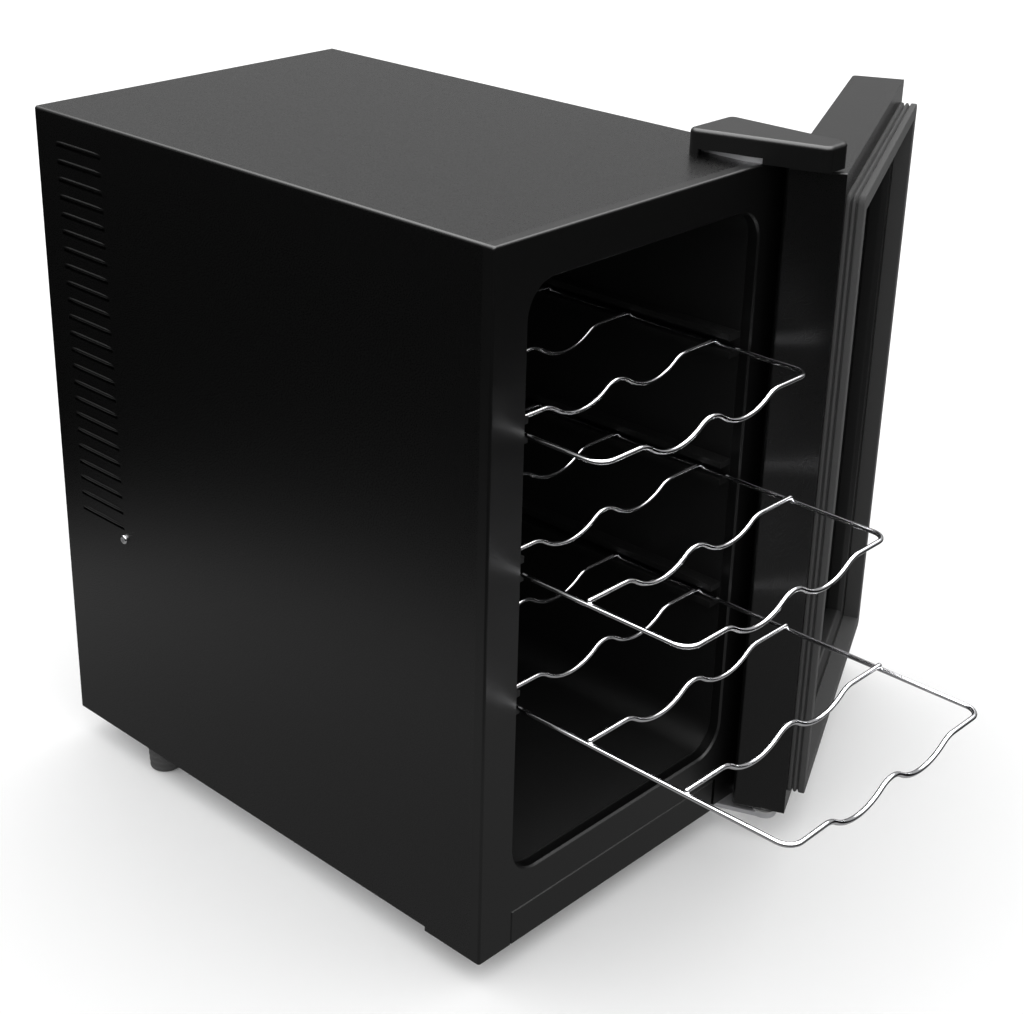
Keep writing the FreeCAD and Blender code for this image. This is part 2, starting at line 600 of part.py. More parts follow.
def rack(name):
    """Wire rack: rails, wavy front bar with round corners, cross bars laid on the rails."""
    z, ahead = RACKS[name]
    front = FRONT_Y - ahead
    rear = front + RACK_LENGTH
    x, r = RACK_HALF_W, RACK_CORNER_R
    rails = [rod(WIRE_R, Vector(s * x, front + r, z), Vector(s * x, rear, z)) for s in (-1, 1)]
    corners = []
    for s in (-1, 1):
        bend = math.sqrt(0.5) * r
        corners.append(Part.Arc(Vector(s * x, front + r, z),
                                Vector(s * (x - r + bend), front + r - bend, z),
                                Vector(s * (x - r), front, z)).toShape())
    edges = wave_edges(front, z, x - r) + corners
    front_bar = wire_along(edges, Vector(x, front + r, z), Vector(0, 1, 0))
    bars = []
    for i in range(1, BAR_COUNT + 1):
        y = front + i * BAR_PITCH
        bar_z = z + 2 * WIRE_R - 0.5
        bar = wire_along(wave_edges(y, bar_z, x), Vector(x, y, bar_z), Vector(1, 0, 0))
        bars.append(bar.cut(Part.makeCompound(rails)))
    return group(rails + [front_bar] + bars)


# ---------------------------------------------------------------- cooling unit
COLD_FAN_Y = LINER_BACK_Y + LINER_T - 0.5
COLD_FAN_T = 10.0
COLD_SINK_Y = COLD_FAN_Y + COLD_FAN_T
COLD_SINK_FIN = 9.0
SINK_BASE = 4.0
COLD_HALF = 45.0
TILE_Y = COLD_SINK_Y + COLD_SINK_FIN + SINK_BASE
TILE_T = 3.5
HOT_SINK_Y = TILE_Y + TILE_T
HOT_SINK_FIN = 20.0
HOT_HALF_W = 60.0
HOT_HALF_H = 65.0
HOT_FAN_Y = HOT_SINK_Y + SINK_BASE + HOT_SINK_FIN
HOT_FAN_T = 15.0
FAN_BLADES = 7


def finned(half_w, half_h, base_y0, base_y1, fin_y0, fin_y1, fins):
    """Heat sink: a base plate with upright fins on one face."""
    base = block(-half_w, half_w, base_y0, base_y1, MODULE_Z - half_h, MODULE_Z + half_h)
    pitch = (2 * half_w - 1.5) / (fins - 1)
    blades = [
        block(-half_w + i * pitch, -half_w + i * pitch + 1.5, fin_y0, fin_y1,
              MODULE_Z - half_h, MODULE_Z + half_h)
        for i in range(fins)
    ]
    return base.multiFuse(blades).removeSplitter()


def fan_frame(half, bore_r, y0, depth):
    """Square fan frame with a round duct, a spider of three arms and a motor seat."""
    frame = panel(half, MODULE_Z - half, MODULE_Z + half, y0, y0 + depth, 4.0)
    centre = Vector(0, y0, MODULE_Z)
    duct = Part.makeCylinder(bore_r, depth + 2, centre - Vector(0, 1, 0), Vector(0, 1, 0))
    frame = frame.cut(duct)
    seat = Part.makeCylinder(bore_r * 0.36, 2.0, centre, Vector(0, 1, 0))
    arms = []
    for k in range(3):
        arm = block(-1.5, 1.5, y0, y0 + 2.0, MODULE_Z, MODULE_Z + bore_r + 1)
        arms.append(arm.rotated(centre, Vector(0, 1, 0), 120 * k + 30))
    stub = Part.makeCylinder(FAN_SHAFT_R, depth - 4, centre, Vector(0, 1, 0))
    corner = half - 4.5
    holes = [
        Part.makeCylinder(1.7, depth + 2, Vector(sx * corner, y0 - 1, MODULE_Z + sz * corner),
                          Vector(0, 1, 0))
        for sx in (-1, 1) for sz in (-1, 1)
    ]
    return frame.multiFuse([seat, stub] + arms).cut(Part.makeCompound(holes))


FAN_SHAFT_R = 2.0


def fan_rotor(bore_r, y0, depth):
    """Hub and pitched blades turning on the frame's stub shaft."""
    hub_r = bore_r * 0.34
    centre = Vector(0, y0 + 2.6, MODULE_Z)
    length = depth - 3.2
    hub = Part.makeCylinder(hub_r, length, centre, Vector(0, 1, 0))
    tip = bore_r - 1.2
    blades = []
    for k in range(FAN_BLADES):
        blade = Part.makeBox(1.4, length / math.cos(math.radians(30)) * 0.82, tip - hub_r + 2,
                             Vector(-0.7, 0, 0))
        blade = blade.rotated(Vector(0, 0, 0), Vector(0, 0, 1), 30)
        blade.translate(centre + Vector(0.27 * length, 0.08 * length, hub_r - 2))
        blades.append(blade.rotated(centre, Vector(0, 1, 0), 360.0 / FAN_BLADES * k))
    limit = Part.makeCylinder(tip, length, centre, Vector(0, 1, 0))
    rotor = hub.multiFuse(blades).common(limit)
    bore = Part.makeCylinder(FAN_SHAFT_R + RUNNING_CLEARANCE, depth, centre - Vector(0, 1, 0),
                             Vector(0, 1, 0))
    return rotor.cut(bore)


def sink_standoffs():
    """Four posts that carry the hot sink off the bulkhead."""
    return group([
        rod(4.0, Vector(sx * (HOT_HALF_W - 7), COMPARTMENT_Y + SHEET, MODULE_Z + sz * (HOT_HALF_H - 7)),
            Vector(sx * (HOT_HALF_W - 7), HOT_SINK_Y, MODULE_Z + sz * (HOT_HALF_H - 7)))
        for sx in (-1, 1) for sz in (-1, 1)
    ])


def cold_air_cover():
    """Flush grille in the liner's back wall, in front of the cold fan."""
    y0, y1 = LINER_BACK_Y - 1.0, LINER_BACK_Y + LINER_T - 0.5
    cover = panel(COVER_HALF_W - FIT, MODULE_Z - COVER_HALF_H + FIT, MODULE_Z + COVER_HALF_H - FIT,
                  y0, y1, 0.8)
    cutters = []
    for i in range(9):
        z = MODULE_Z + (i - 4) * 8.0
        reach = math.sqrt(40.0 ** 2 - (z - MODULE_Z) ** 2)
        cutters.append(slot(reach, 2.2, (0, y0 - 1, z), Vector(0, 1, 0), 5))
    return cover.cut(Part.makeCompound(cutters))


def board(x0, x1, z0, z1, parts):
    """Circuit board on the bulkhead with its larger components as blocks and cans."""
    y = COMPARTMENT_Y + SHEET + 5
    shapes = [block(x0, x1, y, y + 1.6, z0, z1)]
    for px, pz, size, height in parts:
        if size < 0:
            shapes.append(Part.makeCylinder(-size, height, Vector(px, y + 1.6, pz), Vector(0, 1, 0)))
        else:
            shapes.append(block(px - size, px + size, y + 1.6, y + 1.6 + height,
                                pz - size * 0.7, pz + size * 0.7))
    posts = [rod(2.5, Vector(x, COMPARTMENT_Y + SHEET, z), Vector(x, y, z))
             for x in (x0 + 4, x1 - 4) for z in (z0 + 4, z1 - 4)]
    return shapes[0].multiFuse(shapes[1:] + posts)


# ---------------------------------------------------------------- lamp and controls
POD_HALF_W = 46.0
POD_Y = (-158.0, -112.0)
POD_H = 17.0
POD_WALL = 2.0
BUTTON_X = (14.0, 25.0, 36.0)
BUTTON_R = 3.6
BUTTON_HOLE_R = 3.9
BUTTON_PROUD = 1.6
POD_MID_Z = LINER_Z1 - POD_H / 2


def control_pod():
    """Housing under the liner's ceiling, open at the top, for the lamp, display and buttons."""
    z0, z1 = LINER_Z1 - POD_H, LINER_Z1
    shell = block(-POD_HALF_W, POD_HALF_W, POD_Y[0], POD_Y[1], z0, z1)
    shell = rounded(shell, 4.0, Vector(0, 0, 1))
    inside = block(-POD_HALF_W + POD_WALL, POD_HALF_W - POD_WALL, POD_Y[0] + POD_WALL,
                   POD_Y[1] - POD_WALL, z0 + POD_WALL, z1 + 1)
    cutters = [Part.makeCylinder(BUTTON_HOLE_R, POD_WALL + 2,
                                 Vector(x, POD_Y[0] - 1, POD_MID_Z), Vector(0, 1, 0))
               for x in BUTTON_X]
    cutters.append(block(-38, 2, POD_Y[0] - 1, POD_Y[0] + POD_WALL + 1,
                         POD_MID_Z - 5, POD_MID_Z + 5))
    cutters.append(block(-30, 30, POD_Y[0] + 16, POD_Y[1] - 8, z0 - 1, z0 + POD_WALL + 1))
    return shell.cut(inside).cut(Part.makeCompound(cutters))


def display_window():
    """Tinted window over the temperature display."""
    return block(-38 + 0.1, 2 - 0.1, POD_Y[0], POD_Y[0] + POD_WALL,
                 POD_MID_Z - 4.9, POD_MID_Z + 4.9)


def lamp_lens():
    """Frosted lens under the lamp."""
    z0 = LINER_Z1 - POD_H
    return block(-29.9, 29.9, POD_Y[0] + 16.1, POD_Y[1] - 8.1, z0, z0 + POD_WALL)


def button(x):
    """Round push-button with a retaining flange behind the housing's wall."""
    face = Vector(x, POD_Y[0] - BUTTON_PROUD, POD_MID_Z)
    stem = Part.makeCylinder(BUTTON_R, BUTTON_PROUD + POD_WALL + 1.5, face, Vector(0, 1, 0))
    stem = stem.makeFillet(0.6, [e for e in stem.Edges if (e.CenterOfMass - face).Length < 1e-6])
    flange = Part.makeCylinder(BUTTON_R + 1.0, 1.2,
                               Vector(x, POD_Y[0] + POD_WALL + 0.3, POD_MID_Z), Vector(0, 1, 0))
    return stem.fuse(flange)


def control_board():
    """Board behind the buttons with their switches and the lamp's diodes."""
    y = POD_Y[0] + POD_WALL + 3.1
    plate = block(-40, 41, y, y + 1.6, LINER_Z1 - POD_H + POD_WALL + 0.5, LINER_Z1 - 0.5)
    switches = [block(x - 2.5, x + 2.5, y - 0.7, y, POD_MID_Z - 2.5, POD_MID_Z + 2.5)
                for x in BUTTON_X]
    display = block(-36, 0, y - 2.4, y, POD_MID_Z - 4.5, POD_MID_Z + 4.5)
    return plate.multiFuse(switches + [display])


def temperature_sensor():
    """Sensor bead in a clip on the liner's left wall."""
    x, y, z = -LINER_HALF_W, 60.0, 290.0
    clip = block(x, x + 3, y - 6, y + 6, z - 9, z + 9)
    return clip.fuse(rod(2.5, Vector(x + 5, y, z - 8), Vector(x + 5, y, z + 8)))


# ---------------------------------------------------------------- assembly
nodes["outer_shell"] = outer_shell()
nodes["front_frame"] = front_frame()
nodes["kick_trim"] = kick_trim()
nodes["inner_liner"] = inner_liner()
nodes["foam_insulation"] = foam_insulation()
nodes["bulkhead"] = bulkhead()
nodes["base_plate"] = base_plate()
nodes["rear_cover"] = rear_cover()
nodes["power_inlet"] = power_inlet()
nodes["inlet_pins"] = inlet_pins()
for foot_name, (foot_x, foot_y) in zip(
        ("foot_front_left", "foot_front_right", "foot_rear_left", "foot_rear_right"),
        foot_places()):
    nodes[foot_name] = foot(foot_x, foot_y)
nodes["side_screws"] = group([
    screw(3.2, 1.8, SIDE_SCREW_R, SHEET, side_screw_at(s), Vector(-s, 0, 0)) for s in (-1, 1)])
nodes["rear_screws"] = group([
    screw(3.2, 1.8, 1.5, REAR_T, at, Vector(0, -1, 0)) for at in rear_screw_places()])

nodes["top_hinge_bracket"] = top_hinge_bracket()
nodes["top_hinge_pin"] = top_hinge_pin()
nodes["top_hinge_screws"] = group([
    screw(3.6, 2.0, 2.0, HINGE_T, at, Vector(0, 0, -1)) for at in top_hinge_screw_places()])
nodes["top_hinge_cover"] = top_hinge_cover()
nodes["lower_hinge_bracket"] = lower_hinge_bracket()
nodes["lower_hinge_pin"] = lower_hinge_pin()
nodes["lower_hinge_washer"] = lower_hinge_washer()
nodes["lower_hinge_screws"] = group([
    screw(3.6, 2.0, 2.0, HINGE_T, Vector(x, y, -HINGE_T), Vector(0, 0, 1))
    for x, y in lower_hinge_screw_places()])

nodes["door_outer_frame"] = swing(door_outer_frame())
nodes["door_outer_glass"] = swing(glass_pane(GLASS_OUT_Y))
nodes["glass_spacer"] = swing(glass_spacer())
nodes["door_inner_glass"] = swing(glass_pane(GLASS_IN_Y))
nodes["door_inner_frame"] = swing(door_inner_frame())
nodes["door_gasket"] = swing(door_gasket())
nodes["door_top_bush"] = swing(door_bush(DOOR_Z1 - PIN_REACH, DOOR_Z1))
nodes["door_bottom_bush"] = swing(door_bush(DOOR_Z0, DOOR_Z0 + PIN_REACH))

for rack_name in RACKS:
    nodes[rack_name] = rack(rack_name)

nodes["cold_air_cover"] = cold_air_cover()
nodes["cold_fan_frame"] = fan_frame(40.0, 37.0, COLD_FAN_Y, COLD_FAN_T)
nodes["cold_fan_rotor"] = fan_rotor(37.0, COLD_FAN_Y, COLD_FAN_T)
nodes["cold_sink"] = finned(COLD_HALF, COLD_HALF, TILE_Y - SINK_BASE, TILE_Y,
                            COLD_SINK_Y, TILE_Y - SINK_BASE, 16)
nodes["cooling_tile"] = block(-20, 20, TILE_Y, HOT_SINK_Y, MODULE_Z - 20, MODULE_Z + 20)
nodes["hot_sink"] = finned(HOT_HALF_W, HOT_HALF_H, HOT_SINK_Y, HOT_SINK_Y + SINK_BASE,
                           HOT_SINK_Y + SINK_BASE, HOT_SINK_Y + SINK_BASE + HOT_SINK_FIN, 22)
nodes["sink_standoffs"] = sink_standoffs()
nodes["hot_fan_frame"] = fan_frame(46.0, 43.0, HOT_FAN_Y, HOT_FAN_T)
nodes["hot_fan_rotor"] = fan_rotor(43.0, HOT_FAN_Y, HOT_FAN_T)
nodes["power_supply"] = board(-110, -30, 60, 130, (
    (-92, 105, 14, 24), (-60, 112, -7, 28), (-60, 88, -7, 28), (-88, 76, 9, 14)))
nodes["control_relay_board"] = board(10, 70, 70, 120, ((28, 104, 8, 14), (52, 88, 10, 8)))

nodes["control_pod"] = control_pod()
nodes["display_window"] = display_window()
nodes["lamp_lens"] = lamp_lens()
nodes["control_board"] = control_board()
for button_name, button_x in zip(("button_up", "button_down", "button_lamp"), BUTTON_X):
    nodes[button_name] = button(button_x)
nodes["temperature_sensor"] = temperature_sensor()

os.makedirs("parts", exist_ok=True)
for name, shape in nodes.items():
    if not shape.isValid() or not shape.Solids:
        raise RuntimeError(f"{name} is not a valid solid")
    shape.exportStep(f"parts/{name}.step")
print(len(nodes), "nodes, all solids valid")
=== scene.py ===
"""Looks of a countertop wine cooler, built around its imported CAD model.

Metres. +X is the cooler's right-hand side seen from the front, -Y is its front and +Z is
up. The origin is the centre of the cabinet's underside. The door stands open on its two
pins and the three wire racks are drawn out in steps.
"""

import json
import logging
import math
from dataclasses import dataclass, field
from enum import Enum

import bpy
import numpy as np
from mathutils import Matrix, Vector


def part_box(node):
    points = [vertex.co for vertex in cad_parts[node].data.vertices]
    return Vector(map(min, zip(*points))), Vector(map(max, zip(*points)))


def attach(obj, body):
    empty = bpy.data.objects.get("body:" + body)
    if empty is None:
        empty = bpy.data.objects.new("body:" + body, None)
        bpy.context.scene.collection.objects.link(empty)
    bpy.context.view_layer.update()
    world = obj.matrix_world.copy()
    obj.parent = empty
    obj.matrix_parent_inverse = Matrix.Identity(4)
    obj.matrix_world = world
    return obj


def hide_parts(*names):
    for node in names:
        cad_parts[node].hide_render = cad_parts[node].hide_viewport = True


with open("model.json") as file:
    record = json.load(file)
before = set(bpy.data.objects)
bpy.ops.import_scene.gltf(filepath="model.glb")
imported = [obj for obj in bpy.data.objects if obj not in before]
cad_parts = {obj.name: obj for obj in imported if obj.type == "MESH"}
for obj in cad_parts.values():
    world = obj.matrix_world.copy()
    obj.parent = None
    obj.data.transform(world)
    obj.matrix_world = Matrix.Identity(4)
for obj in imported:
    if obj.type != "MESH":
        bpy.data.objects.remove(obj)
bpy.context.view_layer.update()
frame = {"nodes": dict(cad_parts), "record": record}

logging.basicConfig(level=logging.INFO, format="%(message)s")
log = logging.getLogger("wine_cooler")

Colour = tuple[float, float, float]

# Thickness of the shell's steel, half the cabinet's width, its front, the floor, and the
# door's pin with the turn that it stands open by.
SHEET = 0.0011
HALF_W = 0.126
FRONT_Y = -0.1975
FLOOR_Z = -0.020
PIN = np.array([0.121, -0.223])
DOOR_TURN = math.radians(205.0)


# ---------------------------------------------------------------- surfaces
@dataclass
class Surface:
    """Points with the four- and three-sided faces between them.

    Args:
        points: One row of x, y, z for each point.
        quads: One row of four point numbers for each four-sided face.
        tris: One row of three point numbers for each three-sided face.
    """

    points: np.ndarray
    quads: np.ndarray
    tris: np.ndarray = field(default_factory=lambda: np.zeros((0, 3), int))

    def outward(self) -> "Surface":
        """Turns every face over if the enclosed volume comes out negative.

        The volume is a sixth of the sum of a . (b x c) over the surface's triangles.

        Returns:
            The surface, with its faces pointing out.
        """
        q = self.quads
        triangles = np.vstack([q[:, [0, 1, 2]], q[:, [0, 2, 3]], self.tris])
        a, b, c = (self.points[triangles[:, i]] for i in range(3))
        if np.einsum("ij,ij->i", a, np.cross(b, c)).sum() < 0:
            self.quads, self.tris = self.quads[:, ::-1], self.tris[:, ::-1]
        return self

    def turned(self, angle: float, pivot: np.ndarray) -> "Surface":
        """Turns the points about an upright line.

        x' = px + (x - px) cos a - (y - py) sin a, y' = py + (x - px) sin a + (y - py) cos a.

        Args:
            angle: The turn in radians, seen from above.
            pivot: The x and y of the line.

        Returns:
            A new surface.
        """
        c, s = math.cos(angle), math.sin(angle)
        moved = self.points.copy()
        moved[:, :2] = (self.points[:, :2] - pivot) @ np.array([[c, s], [-s, c]]) + pivot
        return Surface(moved, self.quads, self.tris)


def joined(parts: list[Surface]) -> Surface:
    """Puts several surfaces into one.

    Args:
        parts: The surfaces.

    Returns:
        One surface that holds them all, still unconnected.
    """
    starts = np.cumsum([0] + [len(p.points) for p in parts[:-1]])
    return Surface(
        np.vstack([p.points for p in parts]),
        np.vstack([p.quads + s for p, s in zip(parts, starts)]),
        np.vstack([p.tris + s for p, s in zip(parts, starts)]),
    )


def grid_faces(rows: int, columns: int, loop_rows: bool, loop_columns: bool) -> np.ndarray:
    """Four-sided faces of a grid whose point (i, j) has the number i * columns + j.

    Args:
        rows: Points along the first parameter.
        columns: Points along the second parameter.
        loop_rows: Whether the last row meets the first.
        loop_columns: Whether the last column meets the first.

    Returns:
        One row of four point numbers for each face.
    """
    i, j = np.meshgrid(
        np.arange(rows if loop_rows else rows - 1),
        np.arange(columns if loop_columns else columns - 1),
        indexing="ij",
    )
    i, j = i.ravel(), j.ravel()
    a, b = (i + 1) % rows, (j + 1) % columns
    return np.stack([i * columns + j, i * columns + b, a * columns + b, a * columns + j], 1)


def resampled(path: np.ndarray, step: float) -> np.ndarray:
    """Spaces points evenly along a path.

    Args:
        path: One row for each point of the path.
        step: The distance wanted between points.

    Returns:
        The path at equal arc lengths, with its two ends kept.
    """
    length = np.r_[0, np.cumsum(np.linalg.norm(np.diff(path, axis=0), axis=1))]
    at = np.linspace(0, length[-1], max(int(length[-1] / step), 2) + 1)
    return np.stack([np.interp(at, length, path[:, k]) for k in range(path.shape[1])], 1)


def tube(rings: np.ndarray, poles: np.ndarray) -> Surface:
    """Skin over rings of points, drawn in to a pole at each end.

    Args:
        rings: An array of rings, points and (x, y, z).
        poles: The first end's pole, then the last end's.

    Returns:
        A closed surface.
    """
    rows, sides = rings.shape[:2]
    j = np.arange(sides)
    ahead, end = (j + 1) % sides, (rows - 1) * sides
    near = np.stack([np.full(sides, rows * sides), ahead, j], 1)
    far = np.stack([np.full(sides, rows * sides + 1), end + j, end + ahead], 1)
    points = np.vstack([rings.reshape(-1, 3), poles])
    return Surface(points, grid_faces(rows, sides, False, True), np.vstack([near, far])).outward()


def wire(path: np.ndarray, radius: float, sides: int = 14, caps: int = 4) -> Surface:
    """Round wire along a path, closed by a half sphere at each end.

    Ring i is c + r (N cos v + B sin v), with T the tangent, N the path's level normal
    T x z and B = T x N. In an end, c moves out by R sin w and r is R cos w.

    Args:
        path: Centreline, one row for each point.
        radius: Wire radius R.
        sides: Points round the wire.
        caps: Rings in each end.

    Returns:
        A closed surface.
    """
    tangent = np.gradient(path, axis=0)
    tangent /= np.linalg.norm(tangent, axis=1, keepdims=True)
    normal = np.cross(tangent, [0.0, 0.0, 1.0])
    normal /= np.linalg.norm(normal, axis=1, keepdims=True)
    w = np.linspace(0, math.pi / 2, caps + 1)[1:-1]
    first = path[0] - tangent[0] * radius * np.sin(w)[::-1, None]
    last = path[-1] + tangent[-1] * radius * np.sin(w)[:, None]
    centre = np.vstack([first, path, last])
    n = len(w)
    pick = np.r_[np.zeros(n, int), np.arange(len(path)), np.full(n, len(path) - 1)]
    r = np.r_[radius * np.cos(w)[::-1], np.full(len(path), radius), radius * np.cos(w)]
    level, upright = normal[pick], np.cross(tangent, normal)[pick]
    v = np.linspace(0, 2 * math.pi, sides, endpoint=False)
    rings = centre[:, None] + r[:, None, None] * (
        level[:, None] * np.cos(v)[None, :, None] + upright[:, None] * np.sin(v)[None, :, None]
    )
    return tube(rings, np.array([path[0] - tangent[0] * radius, path[-1] + tangent[-1] * radius]))


def bead(
    centre: np.ndarray, size: tuple[float, float, float], rows: int = 7, sides: int = 12
) -> Surface:
    """Weld bead, an ellipsoid: centre + (a cos u cos v, b cos u sin v, c sin u).

    Args:
        centre: Its middle.
        size: The half sizes a, b and c.
        rows: Rings between the poles.
        sides: Points round each ring.

    Returns:
        A closed surface.
    """
    u = np.linspace(-math.pi / 2, math.pi / 2, rows + 2)[1:-1, None]
    v = np.linspace(0, 2 * math.pi, sides, endpoint=False)[None, :]
    unit = np.stack([np.cos(u) * np.cos(v), np.cos(u) * np.sin(v), np.sin(u) + 0 * v], -1)
    poles = np.array([[0, 0, -1], [0, 0, 1]])
    return tube(unit * size + centre, poles * size + centre)


def lathe(profile: np.ndarray, centre: tuple[float, float], sides: int = 64) -> Surface:
    """Closed profile of radius and height turned about an upright line.

    Point (i, j) is (cx + r cos v, cy + r sin v, z) for the profile's (r, z) and angle v.

    Args:
        profile: Closed loop of r and z.
        centre: The x and y of the line.
        sides: Points round the turn.

    Returns:
        A closed surface.
    """
    v = np.linspace(0, 2 * math.pi, sides, endpoint=False)
    r, z = profile[:, :1], profile[:, 1:]
    points = np.stack([centre[0] + r * np.cos(v), centre[1] + r * np.sin(v), z + 0 * v], -1)
    return Surface(points.reshape(-1, 3), grid_faces(len(profile), sides, True, True)).outward()


@dataclass(frozen=True)
class Outline:
    """Upright rounded rectangle in the plane across Y, centred on X.

    Args:
        half_w: Half its width.
        z0: Its foot.
        z1: Its top.
        radius: Corner radius.
        steps: Points along each corner's arc.
    """

    half_w: float
    z0: float
    z1: float
    radius: float
    steps: int = 10

    def ring(self, inset: np.ndarray) -> np.ndarray:
        """The outline moved inwards by each inset, its corners kept on their centres.

        A corner point is centre + max(radius - inset, 0) (cos v, sin v), the centre itself
        moving in by whatever of the inset is past the radius.

        Args:
            inset: One distance for each ring.

        Returns:
            An array of rings, points and (x, z).
        """
        inset = np.asarray(inset, float)[:, None]
        quarter = np.linspace(0, math.pi / 2, self.steps)
        v = (np.arange(4)[:, None] * math.pi / 2 + quarter[None, :]).ravel()
        sx = np.repeat([1, -1, -1, 1], self.steps)
        sz = np.repeat([1, 1, -1, -1], self.steps)
        r = np.maximum(self.radius - inset, 0)
        past = np.maximum(inset - self.radius, 0)
        mid, half_h = (self.z0 + self.z1) / 2, (self.z1 - self.z0) / 2
        x = sx * (self.half_w - self.radius - past) + r * np.cos(v)
        z = mid + sz * (half_h - self.radius - past) + r * np.sin(v)
        return np.stack([x, z], -1)

    def swept(self, profile: np.ndarray) -> Surface:
        """Closed profile of inset and y carried round the outline.

        Args:
            profile: Closed loop of (inset, y).

        Returns:
            A closed surface.
        """
        rings = self.ring(profile[:, 0])
        y = np.broadcast_to(profile[:, 1][:, None], rings.shape[:2])
        points = np.stack([rings[..., 0], y, rings[..., 1]], -1)
        faces = grid_faces(len(profile), rings.shape[1], True, True)
        return Surface(points.reshape(-1, 3), faces).outward()


def rounded_loop(corners: list[tuple[float, float, float]], steps: int = 5) -> np.ndarray:
    """Closed loop with its corners rounded.

    Each corner is a quadratic curve (1-t)^2 a + 2t(1-t) c + t^2 b between the points that
    lie its radius away along the two sides.

    Args:
        corners: The u, v and radius of each corner, in order.
        steps: Points along each corner.

    Returns:
        One row of (u, v) for each point.
    """
    c = np.array([k[:2] for k in corners])
    r = np.array([k[2] for k in corners])[:, None]
    back, ahead = np.roll(c, 1, 0) - c, np.roll(c, -1, 0) - c
    a = c + back / np.linalg.norm(back, axis=1, keepdims=True) * r
    b = c + ahead / np.linalg.norm(ahead, axis=1, keepdims=True) * r
    t = np.linspace(0, 1, steps)[None, :, None]
    loop = (1 - t) ** 2 * a[:, None] + 2 * t * (1 - t) * c[:, None] + t**2 * b[:, None]
    return loop.reshape(-1, 2)


def piece(name: str, surface: Surface, smooth_angle: float = 35.0) -> bpy.types.Object:
    """Makes a mesh object at the origin.

    Args:
        name: The piece's name.
        surface: Its points and faces.
        smooth_angle: Edges sharper than this many degrees stay sharp.

    Returns:
        The object, in the scene.
    """
    mesh = bpy.data.meshes.new(name)
    mesh.from_pydata(surface.points.tolist(), [], surface.quads.tolist() + surface.tris.tolist())
    mesh.update()
    mesh.shade_smooth()
    mesh.set_sharp_from_angle(angle=math.radians(smooth_angle))
    obj = bpy.data.objects.new(name, mesh)
    bpy.context.scene.collection.objects.link(obj)
    log.info("%s: %d faces", name, len(mesh.polygons))
    return obj


# ---------------------------------------------------------------- finishes
FIELD_RANGE = (0.3, 0.7)
BRUSH_STRETCH = (0.03, 1.0, 1.0)


class Relief(Enum):
    """How a finish's surface is broken up."""

    PEEL = "soft rolling of sprayed paint"
    GRAIN = "fine grain of moulded plastic"
    BRUSHED = "long scratches along X"
    POLISHED = "faint waviness of plated or glazed stock"
    CELLS = "closed cells of foam or zinc spangle"


